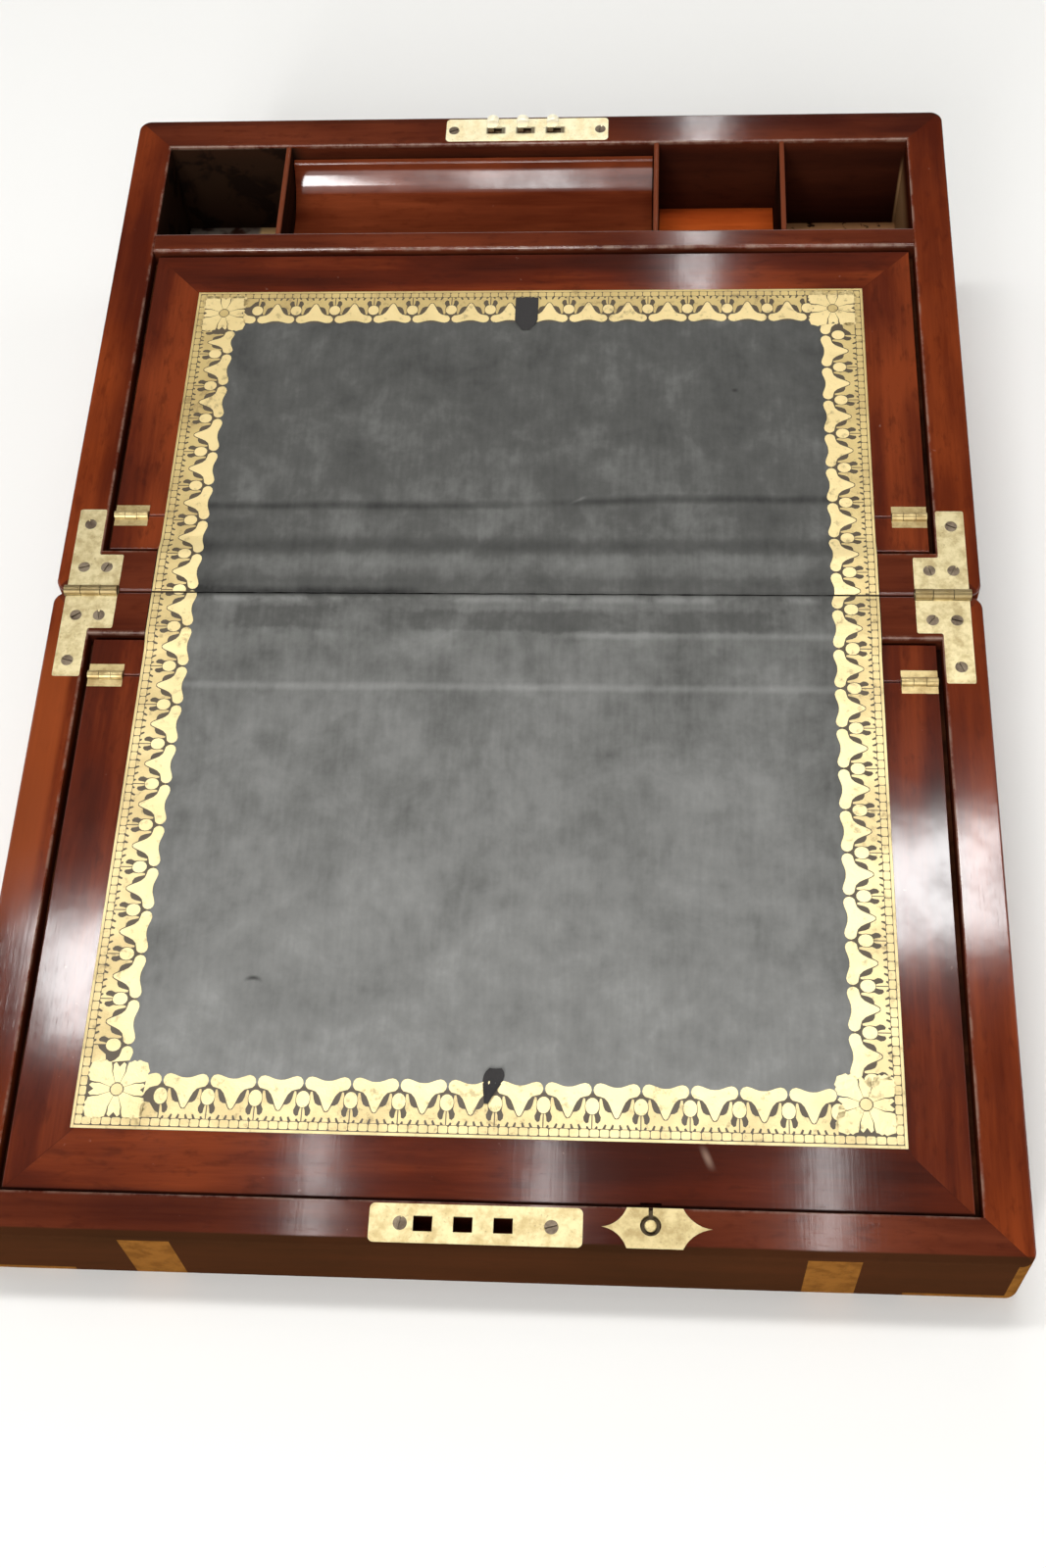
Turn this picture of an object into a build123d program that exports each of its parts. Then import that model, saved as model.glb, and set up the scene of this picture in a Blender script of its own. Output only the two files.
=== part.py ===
from build123d import *
from math import cos, radians, sin, tan
import os

# A writing box lying open on a table. All sizes are in millimetres.
# The origin is on the table, under the middle of the hinge line. The base lies at +Y and
# the lid at -Y. Both rims lie in one sloping plane that rises towards +Y.
os.makedirs("parts", exist_ok=True)

# ---- overall ----
WIDTH = 350.0
HALF_DEPTH = 243.0
HINGE_HEIGHT = 63.0
SLOPE = 7.2
CORNER_R = 5.0
ARRIS_R = 0.8
INNER_ARRIS = 0.4
JOINT_GAP = 0.6
RIM_DROP = 0.2

# ---- boards ----
SIDE_T = 15.5
BACK_T = 15.6
FRONT_T = 14.9
HINGE_WALL_T = 18.2
BOTTOM_T = 6.0
TOP_T = 7.0

# ---- cells beyond the writing surface ----
CELL_DEPTH = 49.34
TRAY_WALL_T = 9.4
TRAY_WALL_R = 1.0
CELL_FLOOR_Z = 47.5
CELL_FLOOR_T = 5.0
DIVIDER_T = 2.2
DIVIDER_R = 0.9
DIVIDER_DROP = 0.8
LEFT_CELL_W = 51.1
RIGHT_CELL_W = 51.9
SHALLOW_CELL_W = 51.3
RAISED_T = 8.5
RAISED_AIR = 0.6

# ---- pen tray ----
TRAY_DROP = 6.5
TRAY_AIR = 0.5
TRAY_END_AIR = 0.6
TRAY_LIP = 3.0
TRAY_LIP_R = 0.8
TRAY_SCOOP = 15.0
TRAY_FLOOR_T = 3.1
REST_W = 8.0

# ---- writing flaps, measured down from the hinge axis plane ----
FLAP_DROP = 2.0
FLAP_T = 5.0
FLAP_SIDE_AIR = 2.2
REAR_END_AIR = 2.0
FRONT_END_AIR = 0.3
FLAP_EDGE_R = 0.4
FOLD_Y = 36.0
FOLD_GAP = 0.2
STRIP_GAP = 1.75
LEDGE_W = 7.0
LEDGE_H = 8.0
END_LEDGE_LAP = 12.0

# ---- leather ----
LEATHER_T = 0.7
LEATHER_SIDE_MARGIN = 19.8
LEATHER_REAR_MARGIN = 19.5
LEATHER_FRONT_MARGIN = 21.1
LEATHER_FOLD_GAP = 0.4
RAIL_LEATHER_DROP = 0.5
LEATHER_BEND = 0.45
LEATHER_REST = 0.1
LEATHER_LEAN = 0.2
TAB_W = 10.0
TAB_L = 18.0
TAB_T = 0.9
REAR_TAB_X = 0.5
REAR_TAB_INSET = 12.5
FRONT_TAB_X = 2.7
FRONT_TAB_INSET = 19.5

# ---- main hinges ----
BARREL_R = 2.2
BARREL_L = 20.5
BARREL_INSET = 4.0
MIDDLE_KNUCKLE_L = 7.6
KNUCKLE_GAP = 0.3
KNUCKLE_AIR = 0.15
HINGE_PIN_R = 1.0
PIN_AIR = 0.05
PIN_SHORT = 0.2
PLATE_T = 1.4
PLATE_INSET = 4.5
PLATE_CORNER_R = 0.8
FOOT_L = 20.0
FOOT_Y = (1.6, 16.5)
LEG_W = 10.5
LEG_Y = 37.5
OUTER_SCREW = (5.2, 10.8)
INNER_SCREW = (14.1, 10.8)
LEG_SCREW = (4.9, 30.6)

# ---- flap butts ----
BUTT_W = 13.2
BUTT_INSET = 0.2
BUTT_KNUCKLE_L = 4.4
BUTT_GAP = 0.2
BUTT_R = 1.75
BUTT_REACH = 4.8
BUTT_LEAF_T = 1.0
BUTT_PIN_R = 0.7

# ---- screws ----
HEAD_R = 2.3
HEAD_H = 1.6
HEAD_SUNK = 0.1
SHANK_R = 1.2
SCREW_L = 11.0
SLOT_W = 0.6
SLOT_D = 0.5

# ---- lock ----
LOCK_X = -3.25
LOCK_PLATE_T = 1.6
LOCK_PLATE_L = 70.5
LOCK_PLATE_W = 13.0
LOCK_PLATE_R = 1.8
LOCK_SCREW_INSET = 3.4
HOOK_X = -4.8
HOOK_PITCH = 12.9
HOOK_HEAD_R = 2.6
HOOK_EDGE_R = 0.5
HOOK_RISE = 4.6
HOOK_T = 3.0
HOOK_SHANK = (-2.3, 0.1)
HOOK_END_AIR = 0.3
HOOK_SIDE_AIR = 0.4
BOLT_TRAVEL = 3.0
BOLT_AIR = 0.2
BOLT_H = 6.0
BOLT_LAP = 4.0
CASE_L = 54.0
CASE_W = 8.4
CASE_H = 28.7
CASE_WALL = 1.2
KEYHOLE_DROP = 13.7
KEYHOLE_R = 2.0
KEY_SLOT_W = 1.6
KEY_SLOT_L = 4.0

# ---- strike plate ----
STRIKE_PLATE_X = -0.75
STRIKE_L = 68.5
STRIKE_W = 12.5
STRIKE_HOLE = (6.2, 5.0)
STRIKE_SCREW_INSET = 10.0
STRIKE_DEPTH = 9.0
STRIKE_SIDE_AIR = 0.6

# ---- flap catch ----
CATCH_X = 55.0
CATCH_SHIFT = 1.4
CATCH_BODY = (-7.6, 10.3)
CATCH_TIPS = (-15.6, 19.7)
CATCH_TIP_SHIFT = 0.7
CATCH_HOLLOW = 1.5
CATCH_IN_MARGIN = 0.15
CATCH_OUT = 7.3
CATCH_STUD_R = 1.95
CATCH_STUD_EDGE = 0.4
CATCH_STUD_DROP = 0.3
CATCH_TRAVEL = 1.3
CATCH_AIR = 0.1
CATCH_SLOT_W = 1.4
TONGUE_HALF_W = 3.0
TONGUE_T = 1.5
TONGUE_BACK = 3.2
TONGUE_SHORT = 0.4
TONGUE_AIR = 0.4
REBATE_W = 1.6

# ---- brass straps and corners ----
STRAP_INSETS = (67.2, 62.1)
STRAP_W = 17.0
STRAP_T = 1.0
STRAP_UNDER = 45.0
STRAP_TOP_GAP = 0.8
CORNER_BRASS = 38.0
CORNER_LIP = 3.0
CORNER_STRIP = 5.5

# ---- values that follow ----
SIN_S = sin(radians(SLOPE))
COS_S = cos(radians(SLOPE))
TAN_S = tan(radians(SLOPE))
RIM = Plane(origin=(0, 0, HINGE_HEIGHT), x_dir=(1, 0, 0), z_dir=(0, -SIN_S, COS_S))
RIM_UP = Axis((0, 0, HINGE_HEIGHT), (0, -SIN_S, COS_S))
OVER = 2 * HINGE_HEIGHT
HALF_W = WIDTH / 2
INNER_X = HALF_W - SIDE_T
JOINT_Y = JOINT_GAP / 2
HINGE_WALL_IN = JOINT_Y + HINGE_WALL_T
BACK_IN = HALF_DEPTH - BACK_T
FRONT_IN = -(HALF_DEPTH - FRONT_T)
TRAY_WALL_FAR = BACK_IN - CELL_DEPTH
TRAY_WALL_NEAR = TRAY_WALL_FAR - TRAY_WALL_T

# The writing surface, in the rim plane's axes.
RAIL_Y = HINGE_WALL_IN / COS_S
STRIP_Y = RAIL_Y + STRIP_GAP
FLAP_HALF = INNER_X - FLAP_SIDE_AIR
FLAP_LOW = -(FLAP_DROP + FLAP_T)
REAR_FLAP_END = TRAY_WALL_NEAR / COS_S - REAR_END_AIR
FRONT_WALL_Y = -FRONT_IN / COS_S
FRONT_FLAP_END = FRONT_WALL_Y - FRONT_END_AIR
LEATHER_HALF = FLAP_HALF - LEATHER_SIDE_MARGIN
LEATHER_REAR_END = REAR_FLAP_END - LEATHER_REAR_MARGIN
LEATHER_FRONT_END = FRONT_FLAP_END - LEATHER_FRONT_MARGIN

# Hinges.
BARREL_X = (HALF_W - BARREL_INSET - BARREL_L, HALF_W - BARREL_INSET)
KNUCKLE_X = (sum(BARREL_X) / 2 - MIDDLE_KNUCKLE_L / 2, sum(BARREL_X) / 2 + MIDDLE_KNUCKLE_L / 2)
PLATE_X = HALF_W - PLATE_INSET
HINGE_SCREWS = [(PLATE_X - inset, y) for inset, y in (OUTER_SCREW, INNER_SCREW, LEG_SCREW)]
BUTT_X = (FLAP_HALF - BUTT_INSET - BUTT_W, FLAP_HALF - BUTT_INSET)
BUTT_KNUCKLE_X = (sum(BUTT_X) / 2 - BUTT_KNUCKLE_L / 2, sum(BUTT_X) / 2 + BUTT_KNUCKLE_L / 2)

# Lock, strike and catch, their y along the rim plane.
LOCK_Y = (HALF_DEPTH - BACK_T / 2) / COS_S
LOCK_SCREWS_X = [LOCK_X + side * (LOCK_PLATE_L / 2 - LOCK_SCREW_INSET) for side in (-1, 1)]
HOOKS_X = [HOOK_X + index * HOOK_PITCH for index in (-1, 0, 1)]
PLATE_LOW = -RIM_DROP - LOCK_PLATE_T
BOLT_Z = (PLATE_LOW - BOLT_AIR - BOLT_H, PLATE_LOW - BOLT_AIR)
CASE_X = (LOCK_X - CASE_L / 2, LOCK_X + CASE_L / 2)
CASE_Y = (HALF_DEPTH - BACK_T / 2 - CASE_W / 2, HALF_DEPTH - BACK_T / 2 + CASE_W / 2)
STRIKE_SCREWS_X = [
    STRIKE_PLATE_X + side * (STRIKE_L / 2 - STRIKE_SCREW_INSET) for side in (-1, 1)
]
CATCH_Y = CATCH_SHIFT - LOCK_Y
CATCH_HOLE_R = CATCH_STUD_R + CATCH_TRAVEL + CATCH_AIR
TONGUE_Z = (PLATE_LOW - CATCH_AIR - TONGUE_T, PLATE_LOW - CATCH_AIR)
TONGUE_END = -FRONT_WALL_Y - TONGUE_SHORT
STRAPS_X = (-HALF_W + STRAP_INSETS[0], HALF_W - STRAP_INSETS[1])

# Cells.
DIVIDERS_X = (
    -INNER_X + LEFT_CELL_W + DIVIDER_T / 2,
    INNER_X - RIGHT_CELL_W - 1.5 * DIVIDER_T - SHALLOW_CELL_W,
    INNER_X - RIGHT_CELL_W - DIVIDER_T / 2,
)


def rim_height(y):
    """Height of the hinge axis plane above the table at world y."""
    return HINGE_HEIGHT + y * TAN_S


CASE_LOW_Z = rim_height(HALF_DEPTH - BACK_T / 2) - CASE_H
KEYHOLE_Z = rim_height(HALF_DEPTH) - KEYHOLE_DROP
TRAY_NEAR = TRAY_WALL_FAR + TRAY_AIR
TRAY_FAR = BACK_IN - TRAY_AIR
TRAY_LOW = rim_height((TRAY_NEAR + TRAY_FAR) / 2) - TRAY_DROP - TRAY_SCOOP
TRAY_BOTTOM_Z = TRAY_LOW - TRAY_FLOOR_T


def world_box(x, y, z, mode=Mode.ADD):
    """Box between two x, two y and two z values in world axes."""
    with Locations(((x[0] + x[1]) / 2, (y[0] + y[1]) / 2, (z[0] + z[1]) / 2)):
        Box(abs(x[1] - x[0]), abs(y[1] - y[0]), abs(z[1] - z[0]), mode=mode)


def rim_box(x, y, z, mode=Mode.ADD):
    """Box between two x, two y and two z values in the rim plane's axes."""
    centre = Location(((x[0] + x[1]) / 2, (y[0] + y[1]) / 2, (z[0] + z[1]) / 2))
    with Locations(RIM.location * centre):
        Box(abs(x[1] - x[0]), abs(y[1] - y[0]), abs(z[1] - z[0]), mode=mode)


def rim_rod(x, y, z, radius, mode=Mode.ADD):
    """Rod along X between two x values, centred on y and z in the rim plane's axes."""
    centre = Location(((x[0] + x[1]) / 2, y, z), (0, 90, 0))
    with Locations(RIM.location * centre):
        Cylinder(radius, abs(x[1] - x[0]), mode=mode)


def trim_above(drop):
    """Cut away everything higher than drop below the hinge axis plane."""
    rim_box((-WIDTH, WIDTH), (-2 * HALF_DEPTH, 2 * HALF_DEPTH), (-drop, OVER), Mode.SUBTRACT)


def half_block(half):
    """Outer block of one half, with its sloping rim and all its outer edges rounded."""
    mid = half * (HALF_DEPTH + JOINT_Y) / 2
    with BuildSketch() as plan:
        with Locations((0, mid)):
            RectangleRounded(WIDTH, HALF_DEPTH - JOINT_Y, CORNER_R)
    block = extrude(plan.sketch, amount=OVER)
    trim_above(RIM_DROP)
    return block


def mitred_board(block, inner, outer):
    """Board of a block between two mitres, each from an inner to an outer corner."""
    add(block)
    past = []
    for near, far in zip(inner, outer):
        past.append((2 * far[0] - near[0], 2 * far[1] - near[1]))
    with BuildSketch() as wedge:
        Polygon(inner[0], past[0], past[1], inner[1], align=None)
    extrude(wedge.sketch, amount=OVER, both=True, mode=Mode.INTERSECT)


def ease_inner_edge(inward):
    """Chamfer a board's inner edge on the rim. inward points from its outer face inside."""
    top = faces().sort_by(RIM_UP)[-1]
    chamfer(top.edges().sort_by(inward)[-1], INNER_ARRIS)


def screw_body(x, y, mode=Mode.ADD):
    """Countersunk head and shank, its axis square to the rim plane."""
    top = -RIM_DROP - HEAD_SUNK
    with Locations(RIM.location * Location((x, y, top - HEAD_H / 2))):
        Cone(SHANK_R, HEAD_R, HEAD_H, mode=mode)
    with Locations(RIM.location * Location((x, y, top - SCREW_L / 2))):
        Cylinder(SHANK_R, SCREW_L, mode=mode)


def screw(x, y, turn):
    """One screw with its driver slot turned by an angle."""
    screw_body(x, y)
    top = -RIM_DROP - HEAD_SUNK
    with Locations(RIM.location * Location((x, y, top), (0, 0, turn))):
        Box(3 * HEAD_R, SLOT_W, 2 * SLOT_D, mode=Mode.SUBTRACT)


def screw_seat(x, y):
    """Room for a screw, open to the rim above its sunk head."""
    screw_body(x, y, Mode.SUBTRACT)
    with Locations(RIM.location * Location((x, y, -RIM_DROP))):
        Cylinder(HEAD_R, 2 * HEAD_SUNK, mode=Mode.SUBTRACT)


def hinge_plate(side, half):
    """L-shaped plate of a main hinge. side is the x sign, half is +1 on the base."""
    foot_in = PLATE_X - FOOT_L
    leg_in = PLATE_X - LEG_W
    with BuildSketch(RIM.offset(-RIM_DROP)) as outline:
        with Locations((side * (foot_in + PLATE_X) / 2, half * (FOOT_Y[0] + FOOT_Y[1]) / 2)):
            Rectangle(FOOT_L, FOOT_Y[1] - FOOT_Y[0])
        with Locations((side * (leg_in + PLATE_X) / 2, half * (FOOT_Y[0] + LEG_Y) / 2)):
            Rectangle(LEG_W, LEG_Y - FOOT_Y[0])
        fillet([v for v in outline.vertices() if abs(v.Y) > BARREL_R], PLATE_CORNER_R)
    extrude(outline.sketch, amount=-PLATE_T)
    near = (side * (KNUCKLE_X[0] - KNUCKLE_GAP / 2), side * BARREL_X[0])
    far = (side * (KNUCKLE_X[1] + KNUCKLE_GAP / 2), side * BARREL_X[1])
    middle = (side * (KNUCKLE_X[0] + KNUCKLE_GAP / 2), side * (KNUCKLE_X[1] - KNUCKLE_GAP / 2))
    reach = BARREL_R + KNUCKLE_AIR
    own = (near, far) if half > 0 else (middle,)
    other = (middle,) if half > 0 else (near, far)
    for ends in other:
        low = min(ends) - KNUCKLE_GAP
        high = max(ends) + KNUCKLE_GAP
        rim_box((low, high), (-reach, reach), (-reach, reach), Mode.SUBTRACT)
    bore = HINGE_PIN_R if half > 0 else HINGE_PIN_R + PIN_AIR
    for ends in own:
        rim_rod(ends, 0, 0, BARREL_R)
        rim_rod(ends, 0, 0, bore, Mode.SUBTRACT)
    for x, y in HINGE_SCREWS:
        screw_seat(side * x, half * y)


def barrel_room(half):
    """Notches in a hinge wall's top edge for the main hinge barrels."""
    reach = BARREL_R + KNUCKLE_AIR
    for side in (-1, 1):
        ends = (side * (BARREL_X[0] - KNUCKLE_GAP), side * (BARREL_X[1] + KNUCKLE_GAP))
        rim_box(ends, (-reach, reach), (-reach, reach), Mode.SUBTRACT)


def butt_leaves(half, on_flap):
    """The pair of leaves of two flap butts that sit on one board."""
    fold = half * FOLD_Y
    way = half if on_flap else -half
    for side in (-1, 1):
        near = (side * BUTT_X[0], side * (BUTT_KNUCKLE_X[0] - BUTT_GAP))
        far = (side * (BUTT_KNUCKLE_X[1] + BUTT_GAP), side * BUTT_X[1])
        middle = (side * BUTT_KNUCKLE_X[0], side * BUTT_KNUCKLE_X[1])
        own = (middle,) if on_flap else (near, far)
        other = (near, far) if on_flap else (middle,)
        leaf_y = (fold + way * BUTT_R / 2, fold + way * BUTT_REACH)
        leaf_z = (-FLAP_DROP - BUTT_LEAF_T, -FLAP_DROP)
        rim_box((side * BUTT_X[0], side * BUTT_X[1]), leaf_y, leaf_z)
        reach = BUTT_R + KNUCKLE_AIR
        for ends in other:
            low = min(ends) - BUTT_GAP
            high = max(ends) + BUTT_GAP
            span = (fold - reach, fold + reach)
            rim_box((low, high), span, (-FLAP_DROP - reach, reach), Mode.SUBTRACT)
        bore = BUTT_PIN_R + PIN_AIR if on_flap else BUTT_PIN_R
        for ends in own:
            rim_rod(ends, fold, -FLAP_DROP, BUTT_R)
            rim_rod(ends, fold, -FLAP_DROP, bore, Mode.SUBTRACT)


def butt_room(half):
    """Notches in a board's fold edge for the flap butt barrels, open at its ends."""
    fold = half * FOLD_Y
    reach = BUTT_R + 2 * KNUCKLE_AIR
    for side in (-1, 1):
        ends = (side * (BUTT_X[0] - BUTT_GAP), side * INNER_X)
        rim_box(ends, (fold - reach, fold + reach), (-FLAP_DROP - reach, reach), Mode.SUBTRACT)


def lock_plate_outline():
    """Outline of the lock plate, laid on the back wall's rim."""
    with Locations((LOCK_X, LOCK_Y)):
        RectangleRounded(LOCK_PLATE_L, LOCK_PLATE_W, LOCK_PLATE_R)


def strike_plate_outline():
    """Outline of the strike plate, laid on the front wall's rim."""
    with Locations((STRIKE_PLATE_X, -LOCK_Y)):
        RectangleRounded(STRIKE_L, STRIKE_W, LOCK_PLATE_R)


def catch_plate_outline():
    """Outline of the catch plate: a short body with a hollow-sided point at each end."""
    inner = -FRONT_WALL_Y - CATCH_IN_MARGIN
    outer = CATCH_Y - CATCH_OUT
    tip_y = CATCH_Y - CATCH_TIP_SHIFT
    left, right = (CATCH_X + x for x in CATCH_BODY)
    left_tip, right_tip = (CATCH_X + x for x in CATCH_TIPS)
    with BuildLine() as edge:
        Line((left, inner), (right, inner))
        SagittaArc((right, inner), (right_tip, tip_y), -CATCH_HOLLOW)
        SagittaArc((right_tip, tip_y), (right, outer), -CATCH_HOLLOW)
        Line((right, outer), (left, outer))
        SagittaArc((left, outer), (left_tip, tip_y), -CATCH_HOLLOW)
        SagittaArc((left_tip, tip_y), (left, inner), -CATCH_HOLLOW)
    make_face(edge.edges())


def catch_cuts():
    """Round hole for the catch's stud and the slot that runs from it to the flap."""
    with Locations(RIM.location * Location((CATCH_X, CATCH_Y, PLATE_LOW))):
        Cylinder(CATCH_HOLE_R, 2 * LOCK_PLATE_T, mode=Mode.SUBTRACT)
    slot_x = (CATCH_X - CATCH_SLOT_W / 2, CATCH_X + CATCH_SLOT_W / 2)
    slot_y = (CATCH_Y, -FRONT_WALL_Y + CATCH_IN_MARGIN)
    rim_box(slot_x, slot_y, (2 * PLATE_LOW, LOCK_PLATE_T), Mode.SUBTRACT)


def strap(x):
    """Flush strap on the lid's front wall, turned under onto the top board."""
    top = rim_height(-HALF_DEPTH) - RIM_DROP - STRAP_TOP_GAP
    ends = (x - STRAP_W / 2, x + STRAP_W / 2)
    world_box(ends, (-HALF_DEPTH, -HALF_DEPTH + STRAP_T), (0, top))
    world_box(ends, (-HALF_DEPTH, -HALF_DEPTH + STRAP_UNDER), (0, STRAP_T))


def corner_plan(size, inset):
    """Part of the lid's outline within size of its front corners, less its inside by inset."""
    mid = -(HALF_DEPTH + JOINT_Y) / 2
    with BuildSketch() as plan:
        with Locations((0, mid)):
            RectangleRounded(WIDTH, HALF_DEPTH - JOINT_Y, CORNER_R)
            if inset > 0:
                inner = (WIDTH - 2 * inset, HALF_DEPTH - JOINT_Y - 2 * inset)
                RectangleRounded(*inner, CORNER_R - inset, mode=Mode.SUBTRACT)
        with Locations(
            (HALF_W - size / 2, -HALF_DEPTH + size / 2),
            (-HALF_W + size / 2, -HALF_DEPTH + size / 2),
        ):
            Rectangle(size, size, mode=Mode.INTERSECT)
    return plan.sketch


def leather_profile(half):
    """Section of the leather over a hinge wall and its fixed strip, in the rim axes."""
    top = -RAIL_LEATHER_DROP
    low = -FLAP_DROP
    end = FOLD_Y - LEATHER_FOLD_GAP
    start = JOINT_Y + LEATHER_FOLD_GAP
    bend = RAIL_Y + LEATHER_BEND
    rest = STRIP_Y + LEATHER_REST
    return (
        (half * start, top),
        (half * (bend + LEATHER_LEAN), top),
        (half * (rest + LEATHER_LEAN), low),
        (half * end, low),
        (half * end, low - LEATHER_T),
        (half * rest, low - LEATHER_T),
        (half * bend, top - LEATHER_T),
        (half * start, top - LEATHER_T),
    )


def leather_strip(half):
    """Leather over a hinge wall and its fixed strip."""
    side_plane = Plane(
        origin=(-LEATHER_HALF, 0, HINGE_HEIGHT),
        x_dir=(0, COS_S, SIN_S),
        z_dir=(1, 0, 0),
    )
    with BuildSketch(side_plane) as section:
        Polygon(*leather_profile(half), align=None)
    extrude(section.sketch, amount=2 * LEATHER_HALF)


def leather_recess(half):
    """Sunk field in a hinge wall's rim for the leather."""
    floor = -(RAIL_LEATHER_DROP + LEATHER_T)
    span = (-half * JOINT_GAP, half * 2 * HINGE_WALL_T)
    rim_box((-LEATHER_HALF, LEATHER_HALF), span, (floor, OVER), Mode.SUBTRACT)


def flap_ledges(half, flap_end, wall_y):
    """Battens under a flap and its strip, fitted between the hinge wall and the far wall."""
    top = FLAP_LOW
    low = FLAP_LOW - LEDGE_H
    near = half * HINGE_WALL_T / 2
    far = half * (flap_end + 2 * LEDGE_H)
    across = (-INNER_X + LEDGE_W, INNER_X - LEDGE_W)
    for side in (-1, 1):
        rim_box((side * INNER_X, side * (INNER_X - LEDGE_W)), (near, far), (low, top))
    rim_box(across, (near, half * (STRIP_Y + LEDGE_W)), (low, top))
    rim_box(across, (half * (flap_end - END_LEDGE_LAP), far), (low, top))
    wide = (-WIDTH, WIDTH)
    world_box(wide, (-HINGE_WALL_IN, HINGE_WALL_IN), (0, OVER), Mode.SUBTRACT)
    world_box(wide, (wall_y, half * 2 * HALF_DEPTH), (0, OVER), Mode.SUBTRACT)


def writing_board(span):
    """Board of the writing surface between two y values, with its top edges eased."""
    rim_box((-FLAP_HALF, FLAP_HALF), span, (FLAP_LOW, -FLAP_DROP))
    fillet(faces().sort_by(RIM_UP)[-1].edges(), FLAP_EDGE_R)


def strip_board(half):
    """Fixed strip next to a hinge wall, with a sunk field for the leather."""
    writing_board((half * STRIP_Y, half * (FOLD_Y - FOLD_GAP)))
    field = (-FLAP_DROP - LEATHER_T, FLAP_DROP)
    rim_box((-LEATHER_HALF, LEATHER_HALF), (0, half * 2 * FOLD_Y), field, Mode.SUBTRACT)
    butt_room(half)


def flap_board(half, end, leather_end):
    """Writing flap with a sunk field for the leather."""
    writing_board((half * (FOLD_Y + FOLD_GAP), half * end))
    field = (-FLAP_DROP - LEATHER_T, FLAP_DROP)
    rim_box((-LEATHER_HALF, LEATHER_HALF), (0, half * leather_end), field, Mode.SUBTRACT)
    butt_room(half)


def flap_leather(half, leather_end):
    """Leather let into a writing flap."""
    span = (half * (FOLD_Y + LEATHER_FOLD_GAP), half * leather_end)
    rim_box((-LEATHER_HALF, LEATHER_HALF), span, (-FLAP_DROP - LEATHER_T, -FLAP_DROP))


def divider(x):
    """Thin upright between two cells, its top edge rounded over."""
    ends = (x - DIVIDER_T / 2, x + DIVIDER_T / 2)
    world_box(ends, (TRAY_WALL_FAR, BACK_IN), (CELL_FLOOR_Z, OVER))
    trim_above(DIVIDER_DROP)
    sides = faces().sort_by(RIM_UP)[-1].edges().sort_by(Axis.X)
    fillet([sides[0], sides[-1]], DIVIDER_R)


# ================= hardware =================

with BuildPart() as base_hinge_plate_left:
    hinge_plate(-1, 1)
base_hinge_plate_left.part.label = "base_hinge_plate_left"
export_step(base_hinge_plate_left.part, "parts/base_hinge_plate_left.step")

with BuildPart() as base_hinge_plate_right:
    hinge_plate(1, 1)
base_hinge_plate_right.part.label = "base_hinge_plate_right"
export_step(base_hinge_plate_right.part, "parts/base_hinge_plate_right.step")

with BuildPart() as lid_hinge_plate_left:
    hinge_plate(-1, -1)
lid_hinge_plate_left.part.label = "lid_hinge_plate_left"
export_step(lid_hinge_plate_left.part, "parts/lid_hinge_plate_left.step")

with BuildPart() as lid_hinge_plate_right:
    hinge_plate(1, -1)
lid_hinge_plate_right.part.label = "lid_hinge_plate_right"
export_step(lid_hinge_plate_right.part, "parts/lid_hinge_plate_right.step")

with BuildPart() as hinge_pins:
    for side in (-1, 1):
        ends = (side * (BARREL_X[0] + PIN_SHORT), side * (BARREL_X[1] - PIN_SHORT))
        rim_rod(ends, 0, 0, HINGE_PIN_R)
hinge_pins.part.label = "hinge_pins"
export_step(hinge_pins.part, "parts/hinge_pins.step")

with BuildPart() as base_hinge_screws:
    for side in (-1, 1):
        for index, (x, y) in enumerate(HINGE_SCREWS):
            screw(side * x, y, 35 + 50 * index + 20 * side)
base_hinge_screws.part.label = "base_hinge_screws"
export_step(base_hinge_screws.part, "parts/base_hinge_screws.step")

with BuildPart() as lid_hinge_screws:
    for side in (-1, 1):
        for index, (x, y) in enumerate(HINGE_SCREWS):
            screw(side * x, -y, 10 + 65 * index - 25 * side)
lid_hinge_screws.part.label = "lid_hinge_screws"
export_step(lid_hinge_screws.part, "parts/lid_hinge_screws.step")

with BuildPart() as rear_butts_on_strip:
    butt_leaves(1, False)
rear_butts_on_strip.part.label = "rear_butts_on_strip"
export_step(rear_butts_on_strip.part, "parts/rear_butts_on_strip.step")

with BuildPart() as rear_butts_on_flap:
    butt_leaves(1, True)
rear_butts_on_flap.part.label = "rear_butts_on_flap"
export_step(rear_butts_on_flap.part, "parts/rear_butts_on_flap.step")

with BuildPart() as rear_butt_pins:
    for side in (-1, 1):
        rim_rod((side * BUTT_X[0], side * BUTT_X[1]), FOLD_Y, -FLAP_DROP, BUTT_PIN_R)
rear_butt_pins.part.label = "rear_butt_pins"
export_step(rear_butt_pins.part, "parts/rear_butt_pins.step")

with BuildPart() as front_butts_on_strip:
    butt_leaves(-1, False)
front_butts_on_strip.part.label = "front_butts_on_strip"
export_step(front_butts_on_strip.part, "parts/front_butts_on_strip.step")

with BuildPart() as front_butts_on_flap:
    butt_leaves(-1, True)
front_butts_on_flap.part.label = "front_butts_on_flap"
export_step(front_butts_on_flap.part, "parts/front_butts_on_flap.step")

with BuildPart() as front_butt_pins:
    for side in (-1, 1):
        rim_rod((side * BUTT_X[0], side * BUTT_X[1]), -FOLD_Y, -FLAP_DROP, BUTT_PIN_R)
front_butt_pins.part.label = "front_butt_pins"
export_step(front_butt_pins.part, "parts/front_butt_pins.step")

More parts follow.
